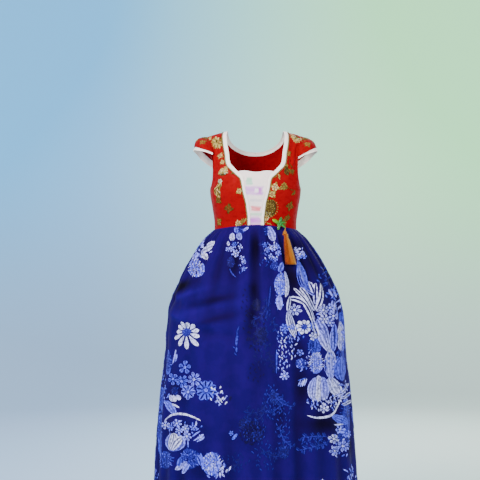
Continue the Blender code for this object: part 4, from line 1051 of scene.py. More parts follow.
# daisies: across, down, radius, petals, how much longer the lower petals are
DAISIES = ((185.7, 332.4, 11, 11, .85), (304.2, 327, 7.4, 9, 0))
SIDES = ((-6, .42), (6, .08))  # where the sides' figures stand, and where they start


def shade_on_skirt(q, drop):
    """How much light the cloth keeps at a place on the skirt, painted into its colour as shade: less where it
    lies deep in a fold, a little more on a soft ridge, less in the painted shades of the front and the back,
    more in its painted lights."""
    light, half = np.interp(hollow(q, drop), DEPTH_AT, DEPTH_LIGHT), GATHERS / 2
    places = run_seen([row[0] for row in PAINTED_SHADES], [row[1] for row in PAINTED_SHADES])
    for place, (_, _, wide, high, rise, dark) in zip(places, PAINTED_SHADES):
        across = (np.mod(q - place[0] + half / 2, half) - half / 2) / (STEP * place[2])
        down = (place[1] - drop) / (STEP * place[5]) + rise * across
        light = light * (1 - dark * np.exp(-(across / wide) ** 2 - (down / high) ** 2))
    return np.clip(light, 0, 1)


def front_figures():
    """Every figure of the skirt's front as (place, rows of petals)."""
    figures = []

    def put(table, make):
        places = run_seen([row[0] for row in table], [row[1] for row in table])
        figures.extend((tuple(place), make(k, *row[2:])) for k, (place, row) in enumerate(zip(places, table)))

    def ground(k, wide, high, tone):
        return [patch(wide * STEP, high * STEP, tone)]

    def head(k, wide, high, strokes, tone, turn=0):
        return dome(wide * STEP, high * STEP, strokes, tone, math.radians(turn), 60 + k)

    def marks(k, wide, high, count, size, tone):
        return seeds(wide * STEP, high * STEP, count, size * STEP, tone, 90 + k)

    def stem(k, length, angle, bend, leaves, tone):
        return vine(length * STEP, math.radians(angle), bend * 2, STEP, tone, leaves, 4.6 * STEP)

    def bulb(k, wide, high):
        wide, high = wide * STEP, high * STEP
        return [patch(wide, high, 0.8, 5, 0.3),
                petal((-wide * 0.5, -high * 0.8), 0.9, 2 * high, wide * 0.9, 0.7, 1, 0.5, 1, 4, 0.22),
                petal((-wide * 0.1, -high * 0.9), 1.3, 1.8 * high, wide * 0.7, -0.6, 1, 0.5, 1, 3, 0.22)]

    def outlined(k, radius, count, tone):
        return bloom(radius * STEP, count, tone, 0.4 * k, 1, 0.2, 1.25, 2)

    def blossom(k, radius, count, tone):
        veins = 2 if radius > 5 else 1
        return bloom(radius * STEP, count, tone, 0.7 * k, slim=0.8, veins=veins, fill=0.4)

    def daisy(k, radius, count, drawn_out):
        rows = bloom(radius * STEP, count, 1, 0.2, 1, 0.34, 1.06)[:count]
        rows = [(*row[:3], row[3] * (1 - drawn_out * min(0, math.sin(row[2]))), *row[4:]) for row in rows]
        return rows + dome(radius * 0.42 * STEP, radius * 0.44 * STEP, 22, 0.62)

    def lines(table, blunt, *look):
        """Petals between two places; the look is their strokes and fill where their rows don't say it."""
        ends = np.array([row[:4] for row in table])
        middle = (ends[:, :2] + ends[:, 2:]) / 2
        for place, (x, y, to_x, to_y), row in zip(run_seen(*middle.T), ends, table):
            width, bend, *own, tone = row[4:]
            right, up = (to_x - x) * STEP, (y - to_y) * STEP
            long = math.hypot(right, up) / np.sinc(bend / (2 * math.pi))
            row = petal((-right / 2, -up / 2), math.atan2(up, right) - bend / 2, long, width * STEP, bend,
                        1, blunt, tone, *(own or look))
            figures.append((tuple(place), [row]))

    put(GROUNDS, ground)
    for table in (TONAL_HEADS, DOMES, LOW_DOMES):
        put(table, head)
    put(TONAL_SEEDS, marks)
    put(TONAL, stem)
    lines(PETALS, 0.55)
    put((BULB,), bulb)
    lines(STROKES, 0.5, 1, 0)
    put(OUTLINED, outlined)
    for table in (SEEDS, LOW_SEEDS):
        put(table, marks)
    lines(BLADES, 0.34, 2, 0)
    put(BLOOMS, blossom)
    put(DAISIES, daisy)
    return figures


def side_figures():
    """The same kinds on the skirt's two sides, where the front's repeat ends."""
    figures = []
    for middle, first in SIDES:
        for k, drop in enumerate(np.arange(first, 1, 0.105)):
            lean, tone = 0.35 * math.sin(2.2 * k + middle), 0.6 + 0.16 * (k % 2)
            full, open_one = dome(0.032, 0.036, 56, tone, 0.3 * k, 20 + k), bloom(0.03, 9, tone, 0.5 * k, 2)
            frond = feather(0.06, 0.026, 1.2 + 0.6 * math.sin(k), 0.3, 10, 0.74)
            marks = seeds(0.03, 0.03, 22, 0.01, 0.74, 70 + k)
            figures += [(run_of(middle + lean, drop), full if k % 2 else open_one),
                        (run_of(middle - lean, drop + 0.05), frond),
                        (run_of(middle + lean + 0.3, drop + 0.06), marks)]
    return figures


SKIRT_TONES = ((0, 10, 6, 22), (.1, 8, 2, 40), (.24, 20, 6, 78), (.34, 30, 20, 112), (.45, 46, 46, 160),
               (.6, 70, 80, 220), (.72, 102, 108, 250), (.84, 142, 144, 255), (.94, 196, 196, 255),
               (1.2, 255, 250, 255))


# ---------------- materials
def threads(u, v, pitch):
    """Satin threads: fine ridges along the cloth that step sideways from row to row."""
    return (u + v * 0.5).wave(1 / pitch) * 0.6 + v.wave(1 / (pitch * 1.3)) * 0.4


def plain_weave(u, v):
    """Threads one over and one under, 0.9 mm apart: the product of the waves of both directions."""
    return u.wave(1 / 0.0009) * v.wave(1 / 0.0009)


def red_brocade():
    """Red satin with a tonal figure of small lozenges and clouds woven in."""
    cloth = Finish("red_brocade", Specular_IOR_Level=0.09, Specular_Tint=(1, 0.16, 0.12, 1))
    place, u, v = cloth.uv()
    lozenge = ((u + v).wave(38) * (u - v).wave(38)).step(0.5, 0.62)
    clouds = cloth.noise(place, 55, 1).step(0.5, 0.58)
    figure = (lozenge * 0.55 + clouds * 0.45).step(0.2, 0.8)
    base = cloth.mix(figure, srgb(136, 0, 9), srgb(127, 0, 8))
    colour = cloth.shade(base, cloth.noise(place, 9, 3) * 0.3 + 0.86)
    slub = cloth.noise(place, 260, 2, (1, 0.12, 1))
    height = threads(u, v, 0.0007) * 0.35 + figure * 0.5 + slub * 0.4
    return cloth.done(colour, figure * 0.16 + 0.44, height, 0.00022, 0.5)


def blue_silk():
    """Deep blue satin with slubs and painted shade: darker where its points say that the folds are deep or
    the cloth lies in shade.
    """
    cloth = Finish("blue_silk", Specular_IOR_Level=0.04, Specular_Tint=(0.35, 0.12, 1, 1))
    place, u, v = cloth.uv()
    cloud = cloth.noise(place, 21, 2).step(0.42, 0.62)
    base = cloth.mix(cloud, srgb(28, 0, 94), srgb(32, 0, 100))
    lit = cloth.node("SeparateColor", {0: cloth.dye()})
    # painted shade: the light in the points takes the blue towards a near-black shade colour
    colour = cloth.mix(lit, srgb(8, 5, 20), cloth.shade(base, cloth.noise(place, 5, 3) * 0.36 + 0.82))
    slub = cloth.noise(place, 190, 2, (1, 0.1, 1))
    height = threads(u, v, 0.0008) * 0.3 + slub * 0.6 + cloth.noise(place, 60, 2) * 0.5
    return cloth.done(colour, cloud * 0.1 + 0.58, height, 0.00025, 0.5)


def woven_figure(name, roughness, ground, wear):
    """Figure threads in the colours given to the points: bright strokes side by side in each petal, with
    the ground's colour between them as far as the petal is not filled, and worn here and there."""
    cloth = Finish(name, Specular_IOR_Level=0.06)
    place, (_, u, v), fill = cloth.object_place(), cloth.uv(), cloth.dye(3)
    strokes = u.wave(1, math.pi / 2).step(0.3, 0.72)
    ribs = (v + cloth.noise(place, 120, 1) * 0.0016).wave(1 / 0.0024)
    worn = cloth.noise(place, 150, 2).step(0.36, 0.56)
    share = (strokes + fill - strokes * fill) * (worn * wear + (1 - wear)) * (ribs * 0.14 + 0.86)
    colour = cloth.mix(share, ground, cloth.dye())
    return cloth.done(colour, share * 0.1 + roughness, strokes + ribs * 0.4, 0.00012, 0.6)


def white_silk(name, stitch_at=None):
    """Cream silk with a fine plain weave; beside its edge runs a row of small stitches."""
    cloth = Finish(name, Specular_IOR_Level=0.36, Sheen_Weight=0.15)
    place, u, v = cloth.uv()
    patch = cloth.noise(place, 30, 3)
    colour = cloth.shade(srgb(255, 240, 228), patch * 0.14 + 0.92)
    height = plain_weave(u, v) * 0.4 + cloth.noise(place, 240, 2) * 0.4
    if stitch_at is not None:
        line = 1 - abs(u - stitch_at).step(0.0003, 0.0008)
        stitches = line * v.wave(1 / 0.0034).step(0.25, 0.5)
        height = height + stitches * 1.6
        colour = cloth.mix(stitches * 0.35, colour, srgb(205, 180, 160))
    return cloth.done(colour, patch * 0.12 + 0.46, height, 0.0002, 0.5)


# height of a band's middle, half height, softness, left end, right end, colour
PANEL_BANDS = (
    (-.168, .008, .008, -.034, -.01, (150, 206, 176)), (-.199, .0095, .009, -.036, .028, (206, 136, 214)),
    (-.199, .007, .006, -.002, .022, (192, 96, 196)), (-.1985, .003, .007, -.008, .01, (252, 240, 240)),
    (-.23, .0012, .006, -.022, .024, (214, 200, 204)), (-.256, .0042, .007, -.02, .019, (232, 96, 108)),
    (-.274, .0014, .006, -.02, .026, (186, 208, 184)), (-.3, .009, .016, -.022, .017, (200, 92, 206)))


def panel_silk():
    """The chest panel's printed bands, from its top edge down, with cream sides and a small blossom."""
    cloth = Finish("panel_silk", Specular_IOR_Level=0.36, Sheen_Weight=0.15)
    place, (_, u, v) = cloth.object_place(), cloth.uv()
    x = cloth.part(place, 0) + (cloth.noise(place, 38, 2, (1, 1, 1.7)) * 0.016 - 0.008)
    z = cloth.part(place, 2) + (cloth.noise(place, 32, 2) * 0.005 - 0.0025)
    brush = cloth.noise(place, 90, 3, (0.35, 1, 1.6)).step(0.3, 0.62) * 0.3 + 0.65
    colour = cloth.mix(cloth.noise(place, 28, 2), srgb(252, 228, 216), srgb(238, 218, 222))
    for middle, half, soft, left, right, tint in PANEL_BANDS:
        inside = 1 - abs(z - middle).step(half, half + soft)
        sideways = x.step(left, left + 0.006) * (1 - x.step(right - 0.006, right))
        colour = cloth.mix(inside * sideways * brush, colour, srgb(*tint))
    patch = cloth.noise(place, 70, 3)
    height = plain_weave(u, v) * 0.4 + patch * 0.5
    return cloth.done(cloth.shade(colour, patch * 0.16 + 0.9), patch * 0.1 + 0.48, height, 0.0002, 0.5)


def braid_silk():
    """Olive and gold cord braid: slanting plies across its width."""
    cloth = Finish("gold_braid", Specular_IOR_Level=0.3, Metallic=0.1)
    _, u, v = cloth.uv()
    ply = (v + u * 1.2).wave(1 / 0.003)
    colour = cloth.mix(ply.step(0.3, 0.7), srgb(40, 38, 12), srgb(138, 120, 50))
    return cloth.done(colour, ply * 0.15 + 0.36, ply, 0.0005, 0.8)


def jade_stone():
    """Polished jade in its points' colours, clouded within."""
    stone = Finish("jade", Specular_IOR_Level=0.3, Coat_Weight=0.2, Coat_Roughness=0.12,
                   Subsurface_Weight=0.15, Subsurface_Scale=0.004)
    place = stone.object_place()
    cloud = stone.noise(place, 190, 3)
    colour = stone.shade(stone.dye(), cloud * 0.6 + 0.72)
    return stone.done(colour, cloud * 0.15 + 0.16, stone.noise(place, 90, 2), 0.0002, 0.3)


def amber_silk():
    """Silk floss in its strands' colours."""
    floss = Finish("amber_silk", Specular_IOR_Level=0.3, Specular_Tint=(1, 0.5, 0.15, 1))
    fine = floss.noise(floss.object_place(), 900, 2, (1, 1, 0.08))
    return floss.done(floss.shade(floss.dye(), fine * 0.5 + 0.75), fine * 0.2 + 0.34, fine, 0.0001, 0.5)


# ---------------- the bodice and what is sewn to it
BODY_MIDDLE, ARM_MIDDLE = (0, 0, -0.15), (0.15, 0.005, -0.11)
ROW_STEPS, BODICE_COLUMNS, CAP_COLUMNS = 6, 51, 29
DENTS = (0.0011, 0.14)  # depth of the soft creases, share where they fade


def soft_dents(grid, seed, depth, edge):
    """The grid pushed in and out a little: slanting soft creases that fade towards its edges."""
    rows, columns = grid.shape[:2]
    down, along = np.linspace(0, 1, rows)[:, None], np.linspace(0, 1, columns)[None, :]
    window = (np.clip(np.minimum(along, 1 - along) / edge, 0, 1)
              * np.clip(np.minimum(down, 1 - down) / edge, 0, 1))
    draw = np.random.default_rng(seed)
    total = 0
    for _ in range(7):
        total = total + np.sin(2 * np.pi * (draw.uniform(0.4, 2.6) * along + draw.uniform(-3, 3) * down
                                            + draw.random()))
    normal = normals_of(grid, grid - np.array(BODY_MIDDLE))
    return grid + normal * (window ** 0.8 * total / 2.6 * depth)[..., None]


front_form = bodice_grid(FRONT_ROWS, True, row_places(FRONT_ROWS, ROW_STEPS), BODICE_COLUMNS)
back_form = bodice_grid(BACK_ROWS, False, row_places(BACK_ROWS, ROW_STEPS), BODICE_COLUMNS)


class Cloth:
    """A cloth's grid with its normals, for laying figures on it by the row and column they stand at."""

    def __init__(self, grid, middle):
        self.grid = grid
        self.normals = normals_of(grid, grid - np.array(middle))

    def seen(self, px, py):
        """Row and column of the point that the camera sees nearest to a place in its frame."""
        rise = math.radians(CAMERA_RISE)
        away = self.grid - np.array(CAMERA_PLACE)
        ahead = away[..., 1] * math.cos(rise) + away[..., 2] * math.sin(rise)
        over = away[..., 2] * math.cos(rise) - away[..., 1] * math.sin(rise)
        return self.least(np.hypot(FRAME / 2 + FOCAL * away[..., 0] / ahead - px,
                                   FRAME / 2 - FOCAL * over / ahead - py))

    def near(self, x, z):
        """Row and column of the point nearest to a place out from the middle and up."""
        return self.least(np.hypot(np.abs(self.grid[..., 0]) - x, self.grid[..., 2] - z))

    def share(self, down, along):
        """Row and column at shares of the grid's height and width."""
        return int(down * (self.grid.shape[0] - 1)), int(along * (self.grid.shape[1] - 1))

    def least(self, miss):
        """Row and column where the miss is least."""
        return np.unravel_index(int(np.argmin(miss)), miss.shape)

    def lay(self, at, x, y, lift):
        """Places x metres to the right of and y above each figure's point, solved on the grid's two
        directions there."""
        last = np.array(self.grid.shape[:2]) - 1
        i, j = np.clip(at.astype(int), 1, last - 1).T
        row, column = self.grid[i + 1, j] - self.grid[i - 1, j], self.grid[i, j + 1] - self.grid[i, j - 1]
        normal = self.normals[i, j]
        right = unit(np.cross(np.array([0, 0, 1]), normal))
        want = right * x[:, None] + np.cross(normal, right) * y[:, None]
        down, along = in_steps(want, row / 2, column / 2)
        down, along = np.clip(np.stack([i + down, j + along], axis=1), 0.5, last - 0.5).T
        return at_grid(self.grid, down, along) + at_grid(self.normals, down, along) * lift[:, None]


# across and down in the frame, kind, size, tone; for the wearer's right and left front
FRONT_GOLD = {
    "right": ((217.6, 141.4, "mum", 9.6, .8), (209.6, 138.6, "sprig", 4, .84), (224, 139, "sprig", 4, .6),
        (220, 155.6, "sprig", 4.2, .86), (222.2, 162.6, "sprig", 3.4, .8), (222.8, 172.6, "mum", 6.4, .93),
        (219.8, 181, "drop", 7.6, .88), (225, 169, "spray", 4, .9), (238.6, 191.6, "sprig", 3.8, .8),
        (243.4, 223.6, "spray", 5.4, .66), (238, 224, "bloom", 3.4, .84), (229, 208, "sprig", 5.6, .4),
        (219.4, 222, "sprig", 5, .56), (234, 172, "spray", 3.6, .4), (218.6, 200, "sprig", 4.6, .44)),
    "left": ((296.4, 138.2, "mum", 7, .9), (302, 140, "sprig", 3.4, .9), (288, 152.6, "sprig", 4.6, .6),
        (286.6, 165, "drop", 5.4, .4), (291.4, 168.6, "spray", 6, .46), (275.4, 187.4, "sprig", 5.6, .86),
        (272, 194.4, "sprig", 5, .8), (270.8, 207.6, "medallion", 8.4, .34),
        (266.8, 214.4, "head", 4.2, 1), (266.4, 221.6, "spray", 5, .93), (284, 186, "bloom", 4.4, .6),
        (290, 206, "sprig", 5.4, .44), (283.4, 223, "bloom", 4.2, .5), (293, 192, "spray", 4.6, .44),
        (277.6, 176.6, "spray", 3.4, .8), (287.6, 218, "sprig", 4, .44))}
# out from the middle, up, kind, size, tone; the back's two halves
BACK_GOLD = (
    (.082, -.075, "mum", 6.4, .8), (.046, -.1, "sprig", 4.4, .66), (.116, -.112, "sprig", 4.8, .62),
    (.07, -.14, "bloom", 5.4, .72), (.024, -.15, "sprig", 4.6, .5), (.104, -.176, "head", 5, .66),
    (.052, -.19, "mum", 6.4, .78), (.092, -.222, "sprig", 5, .56), (.026, -.222, "bloom", 4.8, .62),
    (.062, -.252, "sprig", 4.8, .74), (.106, -.268, "mum", 6, .7), (.03, -.286, "sprig", 5, .6),
    (.078, -.298, "bloom", 4.4, .56))
# shares of the cap sleeve's length and width, kind, size, tone
CAP_GOLD = ((.2, .5, "sprig", 4.4, .6), (.36, .1, "head", 5, .66), (.44, .6, "sprig", 3.6, .84),
            (.6, .45, "bloom", 4.6, .8), (.78, .55, "spray", 4.8, .62))
# tone, then red, green and blue on the screen
GOLD_TONES = ((0, 22, 16, 4), (.2, 46, 36, 8), (.35, 80, 66, 20), (.5, 112, 92, 34), (.65, 142, 122, 54),
              (.8, 190, 166, 92), (.9, 214, 168, 112), (1, 168, 190, 160), (1.2, 216, 226, 208))


def gold_figure(kind, size, tone, turn):
    """One figure of the bodice in petals: a bloom, a half open chrysanthemum, a full head, a drop of
    scales, a sprig of four leaves, a spray of leaves or a medallion."""
    size = size * STEP
    if kind == "bloom":
        return bloom(size, 8, tone, turn, 2, slim=0.9) + leaf(size * 1.2, size * 0.5, turn - 2.2, 0.4, 0.45)
    if kind == "mum":
        return ([patch(size * 0.8, size * 0.62, 0.3)]
                + fan(size, 2.2 + turn, 5.6 + turn, 11, size * 0.24, tone, 0.3, 0.3)
                + fan(size * 0.62, 1.8 + turn, 6 + turn, 8, size * 0.2, tone * 1.1, 0.3, 0.2)
                + bloom(size * 0.26, 5, 0.7, turn))
    if kind == "head":
        return (dome(size * 1.1, size * 0.8, 30, tone, turn, 5)
                + fan(size * 1.25, 2.4, 6.4, 9, size * 0.22, tone * 0.9, 0.5, 0.75))
    if kind == "drop":
        return (feather(size * 1.9, size * 1.05, -1.62, 0.06, 9, tone)
                + bloom(size * 0.34, 5, min(1, tone * 1.5), turn))
    if kind == "sprig":
        leaves = []
        for way in (turn + 0.6, turn + 1.9, turn + 3.5, turn + 4.9):
            leaves += leaf(size * 0.62, size * 0.44, way, 0.5, tone * 0.8, around(size * 0.45, way))
        return leaves + bloom(size * 0.72, 6, tone, turn)
    if kind == "spray":
        return (fan(size, 0.3 + turn, 2.6 + turn, 6, size * 0.26, tone, 0.4, 0.15)
                + vine(size * 1.3, -1.8 + turn, 0.8, size * 0.14, tone * 0.7, 3, size * 0.4))
    return ([patch(size * 0.8, size * 1.14, 0.2)] + dome(size * 0.72, size * 1.04, 64, 0.46, 0, 8)
            + dome(size * 0.6, size * 0.84, 30, 0.66, 0.4, 9)[1:]
            + fan(size * 1.16, -1.3, 1.9, 12, size * 0.15, 0.66, 0.3, 0.74)
            + fan(size * 1.1, 2.2, 4.4, 8, size * 0.15, 0.42, 0.3, 0.7))


def figure_piece(name, figures, place, tones, finish, slot):
    """A piece of woven figures, each petal with its own points, its colour and its fill beside it."""
    points, faces, uv, tone = lay_figures(figures, place)
    dye = np.column_stack([tone_colours(tone[:, 0], tones), tone[:, 1]])
    return add_piece(name, points, faces, finish, slot, uv=uv, dye=dye)


def gold_on(cloth, name, find, table, turns):
    """The gold figures of one cloth as a piece; find() gives the row and column of a figure's place."""
    figures = [(find(*row[:2]), gold_figure(*row[2:], turn)) for row, turn in zip(table, turns)]
    return figure_piece(name, figures, cloth.lay, GOLD_TONES, gold_finish, "gold_braid")


red = (BODICE_CLOTH, red_brocade(), "red_brocade")
gold_finish = woven_figure("gold_figure", 0.38, srgb(60, 26, 12), 0.52)

for side, seed in (("left", 21), ("right", 22)):
    grid = soft_dents(front_form, seed, *DENTS)
    grid = grid if side == "left" else flip(grid)
    piece = cloth_piece("front_" + side, [with_uv(grid)], *red, "bodice_front_" + side, BODY_MIDDLE)
    cloth, table = Cloth(grid, BODY_MIDDLE), FRONT_GOLD[side]
    gold = gold_on(cloth, "gold_on_front_" + side, cloth.seen, table, 0.8 * np.arange(len(table)))
    area_of(grid)

half = soft_dents(back_form, 23, *DENTS)
half[:, 0] = back_form[:, 0]
half_uv = with_uv(half)
mirrored = flip(half_uv)[:, ::-1]
mirrored[..., 3] *= -1  # the cloth runs straight on over the centre back
back = cloth_piece("back", [half_uv, mirrored], *red, "bodice_back", BODY_MIDDLE)
for side, grid in (("left", half), ("right", flip(half))):
    cloth, turns = Cloth(grid, BODY_MIDDLE), 0.9 * np.arange(len(BACK_GOLD))
    gold_on(cloth, "gold_on_back_" + side, cloth.near, BACK_GOLD, turns)
area_of(half) * 2

white = (WHITE_CLOTH, white_silk("white_silk_cuffs"), "white_silk")
for side, cap in CAPS.items():
    grid, psi = cap_grid(cap, 41, CAP_COLUMNS)
    ripple = 0.00048 * np.sin(psi * 5 + 0.8)[:, None] * np.linspace(0, 1, CAP_COLUMNS)[None, :] ** 2
    cuff = cuff_grid(grid, psi)
    grid = grid + normals_of(grid, ARM_OUT) * ripple[..., None]
    middle = np.array(ARM_MIDDLE) * [cap["side"], 1, 1]
    if cap["side"] < 0:
        grid, cuff = flip(grid), flip(cuff)
    piece = cloth_piece("cap_" + side, [with_uv(grid)], *red, "cap_sleeve_" + side, middle)
    cloth = Cloth(grid, middle)
    gold = gold_on(cloth, "gold_on_cap_" + side, cloth.share, CAP_GOLD, [9 * row[0] for row in CAP_GOLD])
    area_of(grid)
    piece = cloth_piece("cuff_of_" + side, [with_uv(cuff)], *white, "cuff_" + side, middle)
    area_of(cuff)

# the collar strip widens from its sixth to its twelfth row; the braid runs beside it
path, path_rows = neck_path(9)
turned_in = np.clip((path_rows - 6) / 6, 0, 1)
width = COLLAR_LOW + (COLLAR_NECK - COLLAR_LOW) * turned_in ** 2 * (3 - 2 * turned_in)
crown = 0.0007 * np.sin(np.pi * np.linspace(0, 1, 9)) ** 0.6
collar = both_halves(strip_beside(path, GAP, width, crown))
piece = cloth_piece("collar", [with_uv(collar)], WHITE_CLOTH, white_silk("white_silk_collar", 0.0018),
                    "white_silk", "collar_strip", BODY_MIDDLE)
above = body(path[:, 0], path[:, 1])[:, 2] > BRAID_END + 0.001
braid_path = np.vstack([[[path[0, 0], turn_at(path[0, 0], BRAID_END, True)]], path[above]])
crown = 0.0003 + BRAID_CLOTH + 0.0006 * np.sin(np.pi * np.linspace(0, 1, 7)) ** 0.7
braid = both_halves(strip_beside(braid_path, -GAP, -BRAID_WIDTH, crown))
braid_piece = cloth_piece("braid", [with_uv(braid)], BRAID_CLOTH, braid_silk(), "gold_braid", "front_braid",
                          BODY_MIDDLE)
area_of(collar)


def panel_grid(rows, columns):
    """Grid of the chest panel: between the front edges and a tuck beyond, its top a soft double curve."""
    edge_x = [(z, x) for x, z, _, _ in FRONT_ROWS]
    bottom = FRONT_ROWS[0][1]
    v, u = np.linspace(0, 1, rows)[:, None], np.linspace(-1, 1, columns)[None, :]
    x = u * (smooth(edge_x, 1, bottom + (PANEL_TOP - bottom) * v) + PANEL_TUCK)
    top = PANEL_TOP + PANEL_RISE * np.sin(np.pi * np.abs(u)) ** 2
    z = bottom + (top - bottom) * v
    turn = turn_at(x, z, True)
    ripple = 0.0006 * np.sin(v * 11 + u * 2) * (1 - u ** 2)
    return body(x, turn) - slopes(x, turn)[2] * (BODICE_CLOTH + PANEL_GAP + 0.0006 + ripple)[..., None]


panel = panel_grid(71, 41)
piece = cloth_piece("panel", [with_uv(panel)], WHITE_CLOTH, panel_silk(), "white_silk", "chest_panel",
                    BODY_MIDDLE)
area_of(panel)

# ---------------- the skirt's four widths
WIDTH_FOLDS = GATHERS // 4
blue_finish, pale_finish = blue_silk(), woven_figure("pale_figure", 0.46, srgb(14, 0, 66), 0.66)
light = shade_on_skirt(*np.meshgrid(skirt_q, skirt_drops))
light[:, -1] = light[:, 0]
# place, UV in metres, and as colour the painted shade: the light that the cloth keeps
hem_u = np.linspace(0, 2, SKIRT_COLUMNS)
skirt_full = points_at(*np.moveaxis(skirt_grid, -1, 0), hem_u, skirt_drops[:, None], light, light, light)
front = front_figures()
figures = front + [((q + GATHERS / 2, drop, *run), rows) for (q, drop, *run), rows in front]
figures += side_figures()
for name, first in (("front_left", 1), ("back_left", 7), ("back_right", 13), ("front_right", 19)):
    start = (first - FIRST_FOLD) * FOLD_STEPS
    part = skirt_full[:, start:start + WIDTH_FOLDS * FOLD_STEPS + 1]
    piece = cloth_piece("width_" + name, [part], SKIRT_CLOTH, blue_finish, "blue_silk", "skirt_" + name,
                        (0, 0, -0.8))
    mine = [figure for figure in figures if (figure[0][0] - first) % GATHERS < WIDTH_FOLDS]
    flowers = figure_piece("flowers_" + name, mine, on_skirt, SKIRT_TONES, pale_finish, "white_silk")

# ---------------- the norigae
def disc(count):
    """A square grid bent to a round one: reach from 0 to 1 and angle of each point."""
    u, v = np.meshgrid(np.linspace(-1, 1, count), np.linspace(-1, 1, count))
    x, y = u * np.sqrt(1 - v * v / 2), v * np.sqrt(1 - u * u / 2)
    return np.hypot(x, y), np.arctan2(y, x)


def close_between(upper, lower):
    """Points and faces of a solid between two grids with the same edge."""
    faces = quads(np.arange(upper[..., 0].size).reshape(upper.shape[:2]))
    return close(upper.reshape(-1, 3), lower.reshape(-1, 3), faces)[:2]


# reach between the leaves, thickness at the edge, height of the dome over it, fullness of the leaves
JADE_WAIST, JADE_EDGE, JADE_DOME, JADE_FULL = 0.0092, 0.0016, 0.0034, 1.14
# a leaf's outline: share of its half width, share of its length
LEAF_OUTLINE = ((-1, .52), (-.62, .76), (-.28, .93), (0, 1), (.28, .93), (.62, .76), (1, .52))
JADE_GREEN, JADE_YELLOW, JADE_SEA = (np.array(srgb(*c)) for c in ((4, 104, 8), (116, 138, 8), (26, 96, 62)))


def jade_ornament():
    """Five domed leaves about one centre: the outline goes out with the angle to each tip, the height falls
    from the middle, swells along each leaf, has a groove on its vein and rounds off at the edge.  The first
    leaf is yellow, and the second turns to sea green."""
    reach, angle = disc(89)
    turn = np.degrees(angle) % 360
    order = sorted((tip % 360, length, half * JADE_FULL) for tip, length, half in JADE_LEAVES)
    outline, swell, vein = [], [], []
    for (tip, length, half), (after, _, _) in zip(order, order[1:] + [(order[0][0] + 360, 0, 0)]):
        outline += [(tip + s * half, length * share) for s, share in LEAF_OUTLINE]
        outline.append(((tip + after) / 2, JADE_WAIST))
        away = (turn - tip + 180) % 360 - 180
        swell.append(np.exp(-(away / (half * 0.75)) ** 2))
        vein.append(np.exp(-(away / 3) ** 2))
    outline = sorted((a % 360, r) for a, r in outline)
    outline = [(outline[-1][0] - 360, outline[-1][1])] + outline + [(outline[0][0] + 360, outline[0][1])]
    radius = smooth(outline, 1, turn)
    swell, vein = np.max(swell, axis=0), np.max(vein, axis=0)
    x, y = reach * radius * np.cos(angle), reach * radius * np.sin(angle)
    edge = np.sqrt(np.clip(1 - reach ** 6, 0, 1))
    height = (JADE_EDGE + JADE_DOME * (1 - reach ** 1.6) * (0.45 + 0.55 * swell)) * edge
    height = height - 0.0006 * vein * edge * np.clip(reach * 4, 0, 1) * (1 - reach)
    rib = 0.00022 * np.cos(np.abs((turn % 72) - 36) * 0.5 + reach * 26) * edge * reach
    points, faces = close_between(points_at(x, y, height + rib), points_at(x, y, -0.0002))
    first, second = JADE_LEAVES[0][0], JADE_LEAVES[1][0]
    leaf_tone = np.exp(-((turn - first + 180) % 360 - 180) ** 2 / 900) + np.clip(reach - 0.8, 0, 1)
    share = (np.clip(leaf_tone, 0, 1) * reach)[..., None]
    cool = 0.7 * np.clip(np.exp(-((turn - second) / 24) ** 2) * reach, 0, 1)[..., None]
    dye = (JADE_GREEN * (1 - share) + JADE_YELLOW * share) * (1 - cool) + JADE_SEA * cool
    across = np.array([math.cos(JADE_YAW), math.sin(JADE_YAW), 0])
    up = np.array([-across[1] * math.sin(JADE_TILT), across[0] * math.sin(JADE_TILT), math.cos(JADE_TILT)])
    placed = points @ [across, up, np.cross(across, up)] + [JADE_CENTRE[0], 0, JADE_CENTRE[1]]
    placed[:, 1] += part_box("norigae_jade")[1][1] - placed[:, 1].max()
    faces = faces if looks_out(placed, faces, placed.mean(axis=0)) else faces[:, ::-1]
    return add_piece("jade_leaves", placed, faces, jade_stone(), "jade", ("norigae_jade",),
                     dye=np.tile(dye.reshape(-1, 3), (2, 1)))


# x and height of the tassel's top and bottom, and the place of the leaf's tip that its cord hangs from
TASSEL_TOP, TASSEL_BOTTOM, TASSEL_NECK = (0.093, -0.326), (0.11, -0.437), (0.0953, -0.0978, -0.3182)
TASSEL_LONG, TASSEL_HEAD = TASSEL_TOP[1] - TASSEL_BOTTOM[1], 0.012
HEAD_SIZE, END_SIZE = (0.007, 0.0055), (0.0175, 0.0075)  # half width and half depth
STRANDS, STRAND_STEPS, STRAND_SIDES = 250, 22, 4
# the strands' amber from left to right across the tassel, with a dark painted shadow in a gap and a pale
# painted highlight at the right edge: share across, then red, green and blue on the screen
STRAND_AMBER_AND_PAINTED_LIGHT = ((0, 126, 52, 26), (.3, 158, 66, 22), (.42, 74, 28, 12), (.5, 176, 88, 26),
                 (.75, 180, 108, 30), (.93, 166, 120, 42), (1, 200, 164, 100))
CORD_PLY, CORD_STEPS = 0.00085, 26
# amber, and a darker amber painted as shade in the grooves of the tassel's head
AMBER, AMBER_IN_GROOVE_SHADE = np.array(srgb(176, 106, 22)), np.array(srgb(110, 52, 14))


def skirt_front_y(x, z):
    """How far forward the skirt comes near places on its front."""
    points = skirt_grid[:90].reshape(-1, 3)
    points = points[(points[:, 0] > 0.05) & (points[:, 0] < 0.16) & (points[:, 1] < 0)]
    near = (np.abs(points[:, 0] - x[:, None]) < 0.012) & (np.abs(points[:, 2] - z[:, None]) < 0.004)
    return np.where(near, points[:, 1], 0).min(axis=1)


